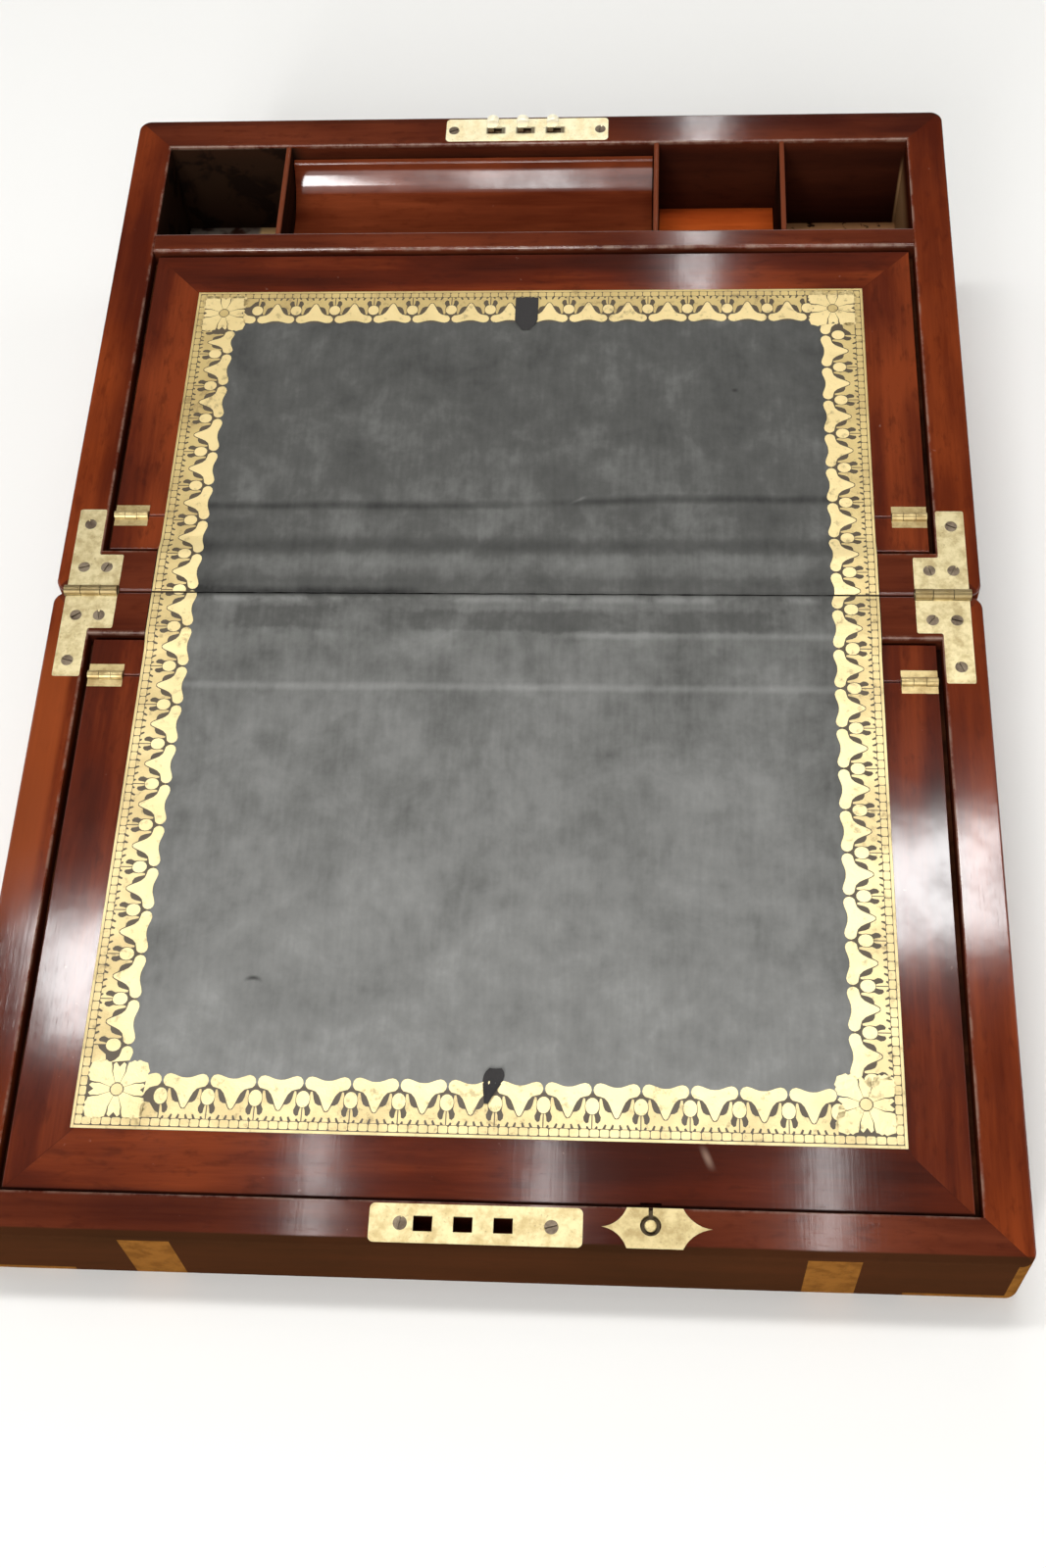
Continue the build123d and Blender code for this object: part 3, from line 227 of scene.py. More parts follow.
def wood(name, along, dark, middle, light, seed=0.0, figure=1.0, mitred=False):
    """Mahogany with its grain along axis 0 or 1. Mitred, the grain of its top runs round a flap."""
    look = Look(name)
    at = look.at
    if mitred:
        side = look.less(FLAP_HALF, look.size(look.x))
        end = look.lowest(look.less(FLAP_ENDS[0], look.y), look.plus(FLAP_ENDS[1], look.y))
        top = look.step(look.z, -4.5, -4.0)
        cross = look.mul(look.step(look.less(side, end), 0.15, -0.15), top)
        line = look.mul(look.near(look.less(side, end), 0.0, 0.3), 0.4, top)
        swapped = look.node("CombineXYZ", {0: look.y, 1: look.x, 2: look.z}).outputs[0]
        at = look.node("Mix", {0: cross, 4: at, 5: swapped}, data_type="VECTOR").outputs[1]

    def grain(length, width):
        return tuple(length if i == along else width for i in range(3))

    broad = look.noise(grain(230, 20), 2.0, 0.5, 0.5, seed, at)
    streak = look.noise(grain(70, 5.0), 3.0, 0.55, 0.4, seed + 3, at)
    fine = look.noise(grain(16, 1.0), 2.0, 0.6, 0.2, seed + 5, at)
    cloud = look.noise(75, 2.0, 0.5, 0.0, seed + 9)
    pores = look.noise(grain(7, 0.35), 1.0, 0.5, 0.0, seed + 7, at)
    layers = ((broad, 0.9), (streak, 0.34), (fine, 0.12), (cloud, 0.7))
    tone = look.plus(*[look.mul(look.less(layer, 0.5), share) for layer, share in layers])
    tone = look.plus(0.5, look.mul(tone, figure))
    colour = look.ramp(tone, (0.33, dark), (0.5, middle), (0.68, light))
    pits = look.step(pores, 0.62, 0.76)
    colour = look.cover(colour, pits, 0.12, rgb(30, 10, 6))
    fleck = look.noise(grain(9, 3.0), 3.0, 0.6, 0.3, seed + 11, at)
    colour = look.cover(colour, look.step(fleck, 0.5, 0.72), 0.45, dark)
    scuff = look.step(look.noise(3.4, 3.0, 0.55, 0.2, seed + 13), 0.70, 0.80)
    colour = look.cover(colour, scuff, 0.30, rgb(176, 140, 122))
    if mitred:
        colour = look.mix(line, colour, rgb(30, 12, 8))
    return look, colour, pits


def rubbed(look, colour):
    """Pale rubbed inner edges of the rim, dark stain with painted shade below them that deepens further
    down, and dark wood under the leather.

    Also returns where the varnish shines: on the rim, and less on the sides and the back.
    """
    wide, long = look.size(look.x), look.size(look.y)
    between = look.mul(look.step(look.y, 230.2, 229.9), look.step(look.y, -231.0, -230.6))
    within = look.mul(look.step(wide, 160.4, 160.0), between)
    inside = look.mul(within, look.step(look.z, -0.9, -1.6))
    below = look.mul(inside, look.step(look.y, CELLS[0] - 1, CELLS[0]))
    # painted shade: the rim's inner walls are darkened, partly stain, and more deeply further down for the
    # shade inside the box
    deeper = look.plus(0.45, look.mul(look.step(look.z, -2.0, -8.0), 0.27))
    colour = look.cover(colour, inside, deeper, rgb(24, 12, 8))
    inked = look.mul(below, look.step(look.x, -100, -108))
    colour = look.cover(colour, inked, 0.85, rgb(33, 23, 15))
    blot = look.step(look.noise(15, 3.0, 0.6, 0.6, 21.0), 0.50, 0.60)
    colour = look.cover(colour, inked, look.mul(blot, 0.7), rgb(14, 9, 7))
    bare = look.mul(below, look.step(look.x, 158, 159), look.step(look.z, -8, -24))
    colour = look.cover(colour, bare, 0.6, rgb(176, 138, 96))
    across = look.step(wide, 160, 159.4)
    edge = look.mul(look.near(wide, INNER_X + 0.3, 0.9), between)
    for place in (*CELLS, RAIL_Y - 0.2, TRAY_WALL_Y, -FRONT_IN, 0.2 - RAIL_Y):
        edge = look.highest(edge, look.mul(look.near(look.y, place, 1.3), across))
    edge = look.mul(edge, look.step(look.z, -2.2, -0.8))
    wear = look.step(look.noise(9, 4.0, 0.7, 0.0, 31.0), 0.40, 0.62)
    colour = look.cover(colour, edge, look.mul(wear, 0.55), rgb(140, 114, 98))
    bed = look.mul(look.step(wide, LEATHER_HALF + 0.4, LEATHER_HALF), look.step(long, BED_Y + 0.5, BED_Y))
    bed = look.mul(bed, look.step(look.z, -2.4, -2.0))
    colour = look.mix(bed, colour, rgb(22, 19, 17))
    # painted shade: the front end face is made dark olive brown, partly its dull old finish, partly the
    # shade it stands in
    front = look.step(look.y, -END_FACE[0], -END_FACE[1])
    colour = look.cover(colour, front, 0.8, rgb(50, 33, 18))
    back = look.step(look.y, *END_FACE)
    colour = look.cover(colour, back, 0.3, rgb(34, 18, 10))
    top = look.step(look.z, -1.6, -1.0)
    sides = look.mul(look.step(wide, *SIDE_FACE), 0.4)
    shiny = look.highest(top, sides, look.mul(back, 0.4))
    return colour, look.mul(shiny, look.invert(front))


def varnish(look, colour, pits, shiny=1.0, rough=0.5):
    """Hand-rubbed varnish, faintly streaked and uneven, over wood that hardly shines by itself."""
    ripple = look.noise(24, 2.0, 0.5, 0.0, 40.0)
    swell = look.noise(6, 2.0, 0.5, 0.0, 42.0)
    rubs = look.noise((1.1, 40, 20), 2.0, 0.5, 0.0, 41.0)
    height = look.plus(look.mul(ripple, 0.20), look.mul(rubs, 0.03), look.mul(swell, 0.06))
    height = look.less(height, look.mul(pits, 0.02))
    normal = look.bump(height, 0.6, 0.2)
    dull = look.mul(look.step(look.noise(20, 4.0, 0.65, 0.0, 43.0), 0.42, 0.68), 0.35)
    weight = look.mul(shiny, look.invert(dull))
    coat = {"Coat_Weight": weight, "Coat_Roughness": 0.09, "Coat_Normal": normal}
    return look.finish(Base_Color=colour, Roughness=rough, Specular_IOR_Level=0.0, Normal=normal, **coat)


# Dark, middle and light colour of the wood of each part.
SIDE = (rgb(72, 24, 10), rgb(96, 37, 15), rgb(124, 53, 22))
CROSS = (rgb(60, 21, 11), rgb(82, 34, 18), rgb(100, 45, 25))
FLAP = (rgb(56, 21, 12), rgb(82, 31, 16), rgb(118, 51, 24))
INSIDE = (rgb(32, 16, 10), rgb(52, 27, 16), rgb(74, 40, 23))
TRAY = (rgb(74, 28, 13), rgb(100, 44, 23), rgb(126, 60, 32))
PALE = (rgb(146, 58, 22), rgb(180, 78, 30), rgb(214, 104, 46))


def side_wood():
    """Side walls, with a warm patch on the left rim of the lid."""
    look, colour, pits = wood("side_wood", 1, *SIDE, seed=1)
    colour, shiny = rubbed(look, colour)
    along = look.mul(look.step(look.y, -8, -34), look.step(look.y, -150, -110))
    warm = look.mul(look.step(look.x, -162, -165), along)
    colour = look.cover(colour, warm, 0.5, rgb(152, 74, 34))
    return varnish(look, colour, pits, shiny)


def cross_wood():
    """Walls and boards with their grain from side to side."""
    look, colour, pits = wood("cross_wood", 0, *CROSS, seed=2)
    colour, shiny = rubbed(look, colour)
    return varnish(look, colour, pits, shiny)


def flap_wood():
    """Flaps with painted shade on their sides and near end, in the dark gaps round them, and a smudge on
    the near margin.
    """
    look, colour, pits = wood("flap_wood", 0, *FLAP, seed=4, figure=0.9, mitred=True)
    # painted shade: the flaps' sides and near end are near black for the gaps round them, and do not shine
    edge = look.highest(look.mul(look.step(look.z, -2.5, -3.4), 0.6), look.step(look.y, -228.4, -229.0))
    colour = look.cover(colour, edge, 0.85, rgb(14, 7, 5))
    slanted = look.less(look.x, look.mul(look.y, -0.4))
    smudge = look.mul(look.near(slanted, -12.2, 2.0), look.near(look.y, -213, 5))
    colour = look.cover(colour, smudge, 0.35, rgb(190, 160, 140))
    return varnish(look, colour, pits, look.invert(edge))


def inner_wood():
    """Bare dark wood of the ledges."""
    look, colour, pits = wood("inner_wood", 0, *INSIDE, seed=5)
    return varnish(look, colour, pits, 0.0, 0.7)


def cell_wood():
    """Floor of the cells: pale in the right one, grey with a pale chip in the left one."""
    look, colour, pits = wood("cell_wood", 0, *INSIDE, seed=5)
    bare = look.step(look.noise(7, 3.0, 0.6, 0.3, 23.0), 0.64, 0.58)
    colour = look.cover(colour, look.mul(look.step(look.x, 106, 107), bare), 0.9, rgb(160, 114, 76))
    dusty = look.step(look.noise(11, 3.0, 0.6, 0.3, 25.0), 0.35, 0.55)
    colour = look.cover(colour, look.mul(look.step(look.x, -106, -107), dusty), 0.7, rgb(104, 94, 84))
    chip = look.mul(look.step(look.x, -128, -126), look.step(look.x, -109, -111))
    colour = look.cover(colour, chip, 0.8, rgb(176, 138, 90))
    return varnish(look, colour, pits, 0.0, 0.7)


def divider_wood():
    """Dividers of dark wood with redder top edges; the dark of their faces is partly painted shade."""
    # painted shade: the dividers take the dark inside palette, partly for the shade of their faces between
    # the cells
    look, colour, pits = wood("divider_wood", 1, *INSIDE, seed=8)
    top = look.step(look.z, -2.6, -1.4)
    colour = look.cover(colour, top, 0.85, rgb(112, 56, 34))
    return varnish(look, colour, pits, look.mul(top, 0.5))


def tray_wood():
    """The pen tray, varnished on top."""
    look, colour, pits = wood("tray_wood", 0, *TRAY, seed=6)
    return varnish(look, colour, pits, look.step(look.z, -17.5, -15.0))


def pale_wood():
    """Light bare wood of the raised floor."""
    look, colour, pits = wood("pale_wood", 0, *PALE, seed=7)
    return varnish(look, colour, pits, 0.1)


dress(side_wood(), "base_left_wall", "base_right_wall", "lid_left_wall", "lid_right_wall")
dress(
    cross_wood(), "base_back_wall", "base_hinge_wall", "lid_hinge_wall", "lid_front_wall",
    "tray_wall", "base_bottom", "lid_top_board",
)
dress(flap_wood(), "rear_flap", "front_flap", "rear_strip", "front_strip")
dress(cell_wood(), "cell_floor")
dress(inner_wood(), "rear_ledges", "front_ledges", "tray_rests")
dress(divider_wood(), "divider_left", "divider_middle", "divider_right")
dress(tray_wood(), "pen_tray")
dress(pale_wood(), "raised_floor")


# ---- brass and steel ----
# From the bolt's end to its first hook, the height of a hook's head, and the outer edge of the
# holes in the rim's plates.
BOLT_LAP = 4.0
HEAD_DEEP = 4.4
PLATE_END = 242.2


def metal(name, base, shade, rough, seed, shine, hidden=None, shadow=rgb(16, 12, 8), gloss=0.3):
    """Old brass or steel with stains and scratches; hidden gives where it has its shadow colour."""
    look = Look(name)
    stain = look.noise(6, 4.0, 0.65, 0.0, seed)
    speck = look.noise(0.9, 3.0, 0.6, 0.0, seed + 2)
    scratch = look.noise((14, 0.35, 0.35), 2.0, 0.5, 0.0, seed + 4)
    colour = look.cover(base, look.step(stain, 0.38, 0.66), 0.9, shade)
    colour = look.cover(colour, look.step(speck, 0.58, 0.74), 0.5, rgb(104, 82, 48))
    if hidden:
        colour = look.mix(hidden(look), colour, shadow)
    rugged = look.plus(rough, look.mul(look.less(stain, 0.5), 0.2))
    normal = look.bump(look.plus(look.mul(scratch, 0.5), speck), 0.25, 0.03)
    surface = {"Metallic": shine, "Roughness": rugged, "Specular_IOR_Level": gloss}
    return look.finish(Base_Color=colour, Normal=normal, **surface)


def in_holes(look):
    """Walls of the holes through the rim's plates, painted in shade."""
    within = look.step(look.size(look.y), PLATE_END, PLATE_END - 0.4)
    return look.mul(look.step(look.z, -0.9, -1.3), within)


def knuckles(look):
    """Barrels of the main hinges, duller than their plates."""
    return look.mul(look.step(look.z, 0.1, 0.6), 0.8)


def below_head(look):
    """Shanks of the lock's hooks, painted in shade under their round heads."""
    top = rim_box("lock_bolt")[1][2]
    return look.step(look.z, top - HEAD_DEEP, top - HEAD_DEEP - 0.6)


def shade_by_hooks(look):
    """Painted shade in the lock's slots and just beside its hooks."""
    low, high = rim_box("lock_bolt")
    pitch = (high[0] - low[0] - 2 * BOLT_LAP) / 2
    y = (low[1] + high[1]) / 2 - 0.3
    hook_shade = in_holes(look)
    # painted shade: a dark patch round the foot of each hook
    for i in range(3):
        x = low[0] + BOLT_LAP + pitch * i + 0.9
        wide = look.step(look.size(look.less(look.x, x)), 4.6, 3.6)
        deep = look.step(look.size(look.less(look.y, y)), 2.3, 1.5)
        hook_shade = look.highest(hook_shade, look.mul(wide, deep, 0.85))
    return hook_shade


def below_plate(look):
    """Sides of the catch's stud and its tongue, down in the dark."""
    return look.step(look.z, -0.7, -1.1)


HINGE_PLATES = [half + "_hinge_plate_" + side for half in ("base", "lid") for side in ("left", "right")]
BUTTS = ["%s_butts_on_%s" % (half, leaf) for half in ("rear", "front") for leaf in ("strip", "flap")]
SCREWS = ["lock_screws", "base_hinge_screws", "lid_hinge_screws", "strike_screws"]
PINS = ["hinge_pins", "rear_butt_pins", "front_butt_pins"]
# Each metal: its name, colour, stain, roughness, seed, how metallic it is, other settings, nodes.
METALS = (
    ("brass_plate", rgb(212, 198, 154), rgb(170, 151, 108), 0.42, 0, 0.8,
     {"hidden": knuckles, "shadow": rgb(112, 92, 54)}, HINGE_PLATES),
    ("brass_lock", rgb(252, 242, 202), rgb(236, 216, 164), 0.36, 3, 0.3,
     {"hidden": shade_by_hooks, "shadow": rgb(58, 40, 22)}, ["lock_plate", "lock_case"]),
    ("brass_strike", rgb(222, 206, 156), rgb(188, 164, 112), 0.40, 5, 0.4,
     {"hidden": in_holes}, ["strike_plate"]),
    ("brass_catch", rgb(204, 186, 136), rgb(164, 142, 94), 0.40, 7, 0.4, {}, ["catch_plate"]),
    ("brass_stud", rgb(212, 194, 142), rgb(170, 148, 98), 0.36, 7, 0.4,
     {"hidden": below_plate, "shadow": rgb(66, 52, 30)}, ["flap_catch"]),
    # painted highlight: the hooks are near white, their glint painted over pale brass
    ("brass_hook", rgb(253, 246, 218), rgb(246, 234, 194), 0.22, 8, 0.2,
     {"hidden": below_head, "shadow": rgb(64, 44, 24), "gloss": 0.5}, ["lock_bolt"]),
    # painted shade: old brass of the front straps and corner brasses, made dull dark brown for the shade of
    # the front face
    ("brass_shaded", rgb(122, 80, 34), rgb(98, 62, 26), 0.7, 9, 0.0,
     {"gloss": 0.0}, ["front_straps", "corner_brasses"]),
    ("brass_round", rgb(194, 174, 124), rgb(152, 128, 82), 0.34, 6, 0.6, {}, BUTTS),
    ("screw_steel", rgb(132, 118, 100), rgb(84, 70, 58), 0.45, 12, 0.8, {}, SCREWS + PINS),
)
for name, base, shade, rough, seed, shine, extra, nodes in METALS:
    dress(metal(name, base, shade, rough, seed, shine, **extra), *nodes)

# ---- leather: one sheet on each half, from the middle joint over the fold of its flap ----
REAR_END = 148.5
FRONT_END = 208.5
SPLIT = 0.25
FOLD_Y = 36.0
RAIL_TOP = -0.5
FIELD_TOP = -2.0
SLOPE_FROM, SLOPE_TO = 17.0, 26.5
BORDER = 18.0
SKIRT = 0.55


def ease(value, low, high):
    """0 below low, 1 above high, smooth between."""
    t = min(1.0, max(0.0, (value - low) / (high - low)))
    return t * t * (3 - 2 * t)


def leather_height(x, y):
    """Height of the leather in the rim plane's axes, in mm."""
    level = RAIL_TOP + (FIELD_TOP - RAIL_TOP) * ease(abs(y), SLOPE_FROM, SLOPE_TO)
    field = ease(LEATHER_HALF - BORDER - abs(x), 0, 4)
    end = REAR_END if y > 0 else FRONT_END
    field *= ease(end - BORDER - abs(y), 0, 4)
    wave = 0.10 * noise.noise(Vector((x / 42, y / 26, 3.0)))
    wave += 0.04 * noise.noise(Vector((x / 13, y / 11, 8.0)))
    bend = 1.2 * noise.noise(Vector((x / 45, 0.0, 5.0)))
    fold = 40.8 + 3.2 * ease(x, -30, 60) + bend
    crease = -0.12 * ease(2.6 - abs(y - fold), 0, 2.6)
    crease += 0.12 * ease(2.4 - abs(y + 39.6 - 0.4 * bend), 0, 2.4)
    dip = -0.22 * ease(4.0 - abs(y), 0, 4.0)
    return level + field * (wave + crease) + dip


def on_rim(x, y, z):
    """A point of the rim plane's axes, in mm, in the frame's axes."""
    return RIM @ Vector((x * MM, y * MM, z * MM))


def add_mesh(name, bm, *materials):
    """Make an object of a bmesh, and keep each point's place at rest for its material."""
    mesh = bpy.data.meshes.new(name)
    bm.to_mesh(mesh)
    bm.free()
    rest = mesh.attributes.new("rest", "FLOAT_VECTOR", "POINT")
    rest.data.foreach_set("vector", [c for v in mesh.vertices for c in v.co])
    for material in materials:
        mesh.materials.append(material)
    made = bpy.data.objects.new(name, mesh)
    bpy.context.scene.collection.objects.link(made)
    return made


def stations(stops):
    """Values from a list of (end, step), starting at the first end."""
    out = [stops[0][0]]
    for end, step in stops[1:]:
        count = max(1, round(abs(end - out[-1]) / step))
        start = out[-1]
        out += [start + (end - start) * (i + 1) / count for i in range(count)]
    return out


def leather_sheet(name, half, end, material):
    """The leather of one half with its edges turned down, finest where it slopes and folds."""
    near = [(SPLIT, 0), (6, 0.6), (SLOPE_FROM, 1.5), (SLOPE_TO, 0.8)]
    ys = stations(near + [(34.8, 1.5), (37.4, 0.2), (46, 0.6), (end, 3.0)])
    xs = stations([(-LEATHER_HALF, 0), (LEATHER_HALF, 2.6)])
    bm = bmesh.new()
    rows = []
    for y in ys:
        row = []
        for x in xs:
            cut = y
            if y < 3:
                ragged = 0.30 * noise.noise(Vector((x / 7, half * 3.0, 1.0)))
                ragged += 0.15 * noise.noise(Vector((x / 2.3, half, 2.0)))
                cut = y - min(0.15, ragged) * (3 - y) / 3
            row.append(bm.verts.new(on_rim(x, half * cut, leather_height(x, half * cut))))
        rows.append(row)
    for low, high in zip(rows, rows[1:]):
        for i in range(len(xs) - 1):
            corners = (low[i], low[i + 1], high[i + 1], high[i])
            bm.faces.new(corners if half > 0 else corners[::-1])
    rim = [e for e in bm.edges if e.is_boundary]
    skirt = bmesh.ops.extrude_edge_only(bm, edges=rim)
    for v in [v for v in skirt["geom"] if isinstance(v, bmesh.types.BMVert)]:
        place = UNRIM @ v.co / MM
        foot = FIELD_TOP if abs(place.y) > BED_Y else RAIL_TOP
        v.co = on_rim(place.x, place.y, foot - SKIRT)
    bmesh.ops.recalc_face_normals(bm, faces=bm.faces)
    for face in bm.faces:
        face.smooth = True
    return add_mesh(name, bm, material)


def black_leather():
    """Worn black leather: its greys are built up as one level, darker and paler in places."""
    look = Look("black_leather", rest=True)
    mottle = look.noise((26, 30, 30), 5.0, 0.6, 0.5, 1.0)
    small = look.noise(7, 3.0, 0.6, 0.0, 4.0)
    weave = look.noise((2.0, 14, 10), 2.0, 0.5, 0.0, 9.0)
    grain = look.noise(0.9, 3.0, 0.6, 0.0, 6.0)
    wander = look.mul(look.less(look.noise((45, 400, 400), 2.0, 0.5, 0.0, 12.0), 0.5), 4.0)
    ragged = look.mul(look.less(look.noise((11, 11, 11), 4.0, 0.65, 0.0, 15.0), 0.5), 26.0)
    y = look.plus(look.y, wander)

    def patch(left, right, low, high, soft=4.0):
        """A patch with uneven edges between two x and two y values."""
        x, y = look.plus(look.x, ragged), look.plus(look.y, look.mul(ragged, 0.3))
        wide = look.mul(look.step(x, left - soft, left + soft), look.step(x, right + soft, right - soft))
        return look.mul(wide, look.mul(look.step(y, low - 1, low + 1), look.step(y, high + 2, high - 1)))

    # the whole field: paler towards the camera, a painted sheen; darker at its sides; mottled
    level = look.plus(0.21, look.mul(look.step(look.y, 150, -215), 0.28))
    level = look.less(level, look.mul(look.step(look.size(look.x), 98, 122), 0.05))
    for layer, share in ((mottle, 0.43), (small, 0.2), (weave, 0.1)):
        level = look.plus(level, look.mul(look.less(layer, 0.5), share))

    # dark: painted shade in the rear fold, on the slope behind the hinge and in the joint, and patches on
    # both sides of it
    fold = look.plus(40.8, look.mul(look.step(look.x, -30, 60), 3.2))
    deeper = look.mul(look.step(look.size(look.less(look.x, 9)), 4, 26), 0.10)
    dark = look.mul(look.near(look.less(y, fold), 0.0, 3.0), look.plus(0.05, deeper))
    dark = look.plus(dark, look.mul(look.near(y, 22.0, 6.5), 0.10))
    dark = look.plus(dark, look.mul(look.step(look.y, 9.5, 5.0), look.step(look.y, -1.0, 0.2), 0.08))
    gap = look.near(look.less(look.y, look.mul(wander, 0.2)), 0.8, 3.4)
    dark = look.plus(dark, look.mul(look.step(look.x, -28, -48), gap, 0.18))
    dark = look.plus(dark, look.mul(look.near(look.y, 0.0, 1.8), 0.06))
    dark = look.plus(dark, look.mul(patch(-104, -66, -16, -6), 0.08))
    dark = look.plus(dark, look.mul(patch(-36, 98, -16.6, -8), 0.08))
    dark = look.plus(dark, look.mul(patch(-140, -100, 2, 34, 12.0), 0.07))

    # pale: painted highlight on the front fold, the joint's near lip, and a line on each side of the joint
    pale = look.mul(look.near(look.less(look.y, look.mul(wander, 0.3)), -39.6, 2.6), 0.10)
    lip = look.mul(look.near(look.y, -2.6, 2.6), look.step(mottle, 0.42, 0.58))
    pale = look.plus(pale, look.mul(lip, 0.12))
    pale = look.plus(pale, look.mul(look.near(look.y, -18.2, 2.2), look.step(look.x, 5, 30), 0.08))
    pale = look.plus(pale, look.mul(look.near(y, 14.0, 5.0), 0.04))
    level = look.plus(look.less(level, dark), pale)

    # a pale scratch at the rear fold, and two dark nicks
    right = look.less(look.x, 24.4)
    line = look.plus(43.7, look.mul(right, 0.45))
    scratch = look.mul(look.near(right, 0.0, 5.0), look.near(look.less(look.y, line), 0.0, 1.2))
    level = look.plus(level, look.mul(scratch, 0.16))
    left = look.less(look.x, -81.7)
    arch = look.less(-154.6, look.mul(left, left, 0.09))
    nick = look.mul(look.near(look.x, -81.7, 4.2), look.near(look.less(look.y, arch), 0.0, 1.3))
    nick = look.highest(nick, look.mul(look.near(look.x, 85.2, 1.8), look.near(look.y, 96.6, 1.4)))

    stops = [(0.0, rgb(30, 30, 28)), (0.25, rgb(76, 76, 73)), (0.5, rgb(122, 122, 119))]
    colour = look.ramp(level, *stops, (0.8, rgb(168, 168, 165)))
    colour = look.cover(colour, nick, 0.8, rgb(26, 24, 22))
    ends = look.lowest(look.less(REAR_END, look.y), look.plus(FRONT_END, look.y))
    inward = look.lowest(look.less(LEATHER_HALF, look.size(look.x)), ends)
    ground = look.step(inward, 17.2, 15.6)
    colour = look.cover(colour, ground, 0.75, rgb(84, 70, 50))
    height = look.plus(look.mul(grain, 0.35), look.mul(mottle, 1.4), look.mul(small, 0.6))
    normal = look.bump(height, 0.6, 0.12)
    return look.finish(Base_Color=colour, Roughness=0.6, Specular_IOR_Level=0.25, Normal=normal)


# ---- gilt tooling: a traditional border of fans and discs inside beads and a fillet ----
GILT_RISE = 0.05
PITCH = 16.33
BEAD = 3.3
# painted highlight: fans, discs and petals use a paler gold than the beads, swags and fillet, for the light
# catching their raised tooling
DULL, HIGHLIT = 0, 1

# First disc along each side of the border, the pitch of its repeats, and how many there are.
NEAR_SIDE = (-108.45, 16.0, 14)
FAR_SIDE = (-111.6, 16.18, 14)
RIGHT_SIDE = (-185.9, PITCH, 19)
LEFT_SIDE = (-179.6, 16.42, 18)
# The near and far borders are drawn this much deeper or shallower than the side ones.
NEAR_STRETCH, FAR_STRETCH = 1.1, 0.95
# The flower in each corner: its x and y, and how much it is stretched along each.
FLOWERS = (
    (124.6, -194.0, 1.0, 1.02),
    (-123.6, -195.0, 1.04, 1.02),
    (125.2, 138.2, 0.98, 0.92),
    (-125.6, 137.3, 0.95, 0.95),
)

# Right halves of one repeat's outlines, in mm: along from the middle of its fan, and inward
# from the edge of the leather.
FAN_HALF = [
    (0.0, 6.9), (0.7, 7.4), (1.4, 8.8), (2.1, 10.4), (2.9, 11.9), (4.1, 13.1), (5.4, 13.5), (6.8, 13.8),
    (7.5, 14.5), (7.85, 15.5), (7.6, 16.6), (6.8, 17.4), (5.6, 17.7), (4.2, 17.4), (2.8, 16.9),
    (1.4, 16.5), (0.0, 16.4),
]
SWAG_HALF = [
    (0.0, 3.75), (1.1, 3.75), (0.85, 4.9), (1.35, 5.2), (2.1, 3.75), (3.7, 3.75), (3.3, 4.9), (3.85, 5.2),
    (4.7, 3.75), (6.3, 3.75), (6.2, 4.4), (6.7, 4.6), (7.3, 3.75), (7.98, 3.75), (7.98, 7.85), (7.5, 7.9),
    (7.2, 7.0), (7.0, 5.6), (6.2, 5.3), (5.4, 6.1), (5.2, 7.2), (5.9, 8.6), (5.75, 9.4), (5.65, 10.6),
    (5.85, 11.8), (5.7, 12.9), (5.1, 13.0), (4.8, 12.0), (4.5, 10.7), (3.9, 9.4), (2.9, 8.8), (1.8, 8.7),
    (1.6, 8.3), (0.95, 7.2), (0.6, 6.8), (0.0, 6.7),
]
# What shows of the swag beside a cut-off fan, along from a disc's middle.
SWAG_CUT = [(0.2, 3.9), (6.3, 3.9), (6.3, 7.4), (5.2, 8.7), (3.4, 8.4), (2.2, 6.9), (1.4, 5.9), (0.2, 5.3)]
# Left halves of a flower's petal and lobe, as (degrees from its middle line, mm from the flower's middle).
PETAL = [
    (-23, 2.3), (-24, 4.5), (-23.5, 6.4), (-27, 8.0), (-27.5, 9.6), (-23, 10.1), (-20, 11.0), (-15, 11.0),
    (-13, 11.9), (-7, 12.2), (0, 12.9),
]
LOBE = [(-19, 2.4), (-19, 4.6), (-18.5, 6.4), (-15, 7.6), (-14, 8.7), (-8, 9.3), (-5, 8.6), (0, 7.6)]


def mirrored(points):
    """A whole outline from its half at u of 0 and above."""
    return points + [(-u, v) for u, v in reversed(points) if abs(u) > 1e-6]


def ring(u, v, a, b, count=14):
    """An ellipse about (u, v), of half widths a and b."""
    turns = [2 * math.pi * i / count for i in range(count)]
    return [(u + a * math.cos(t), v + b * math.sin(t)) for t in turns]


def repeat(middle, pitch):
    """One repeat of the border, its fan at middle: outlines with their gold, the fan painted highlit and
    the swag plain.
    """
    parts = ((mirrored(FAN_HALF), HIGHLIT), (mirrored(SWAG_HALF), DULL))
    k = pitch / PITCH
    return [([(middle + u * k, v) for u, v in points], kind) for points, kind in parts]


def half_fan(boundary, way):
    """Cut-off beginning of a fan beside a corner, from a disc's middle, way -1 or 1 along."""
    fan = [(boundary + way * (PITCH / 2 - u), v) for u, v in FAN_HALF if u > 1.7]
    return [(fan, HIGHLIT), ([(boundary + way * u, v) for u, v in SWAG_CUT], DULL)]


def border_side(first, pitch, count, before, after):
    """Repeats and discs of one side of the border, along it from its first disc.

    before adds a cut-off fan at its start; after adds one at its end, or a repeat of that pitch.
    """
    out = []
    for i in range(count):
        out += repeat(first + pitch * (i + 0.5), pitch)
    for i in range(count + 1):
        out.append((ring(first + pitch * i, 10.6, 2.3, 2.6), HIGHLIT))
    if before:
        out += half_fan(first, -1)
    if after == "fan":
        out += half_fan(first + pitch * count, 1)
    elif after:
        out += repeat(first + pitch * count + after / 2, after)
    return out


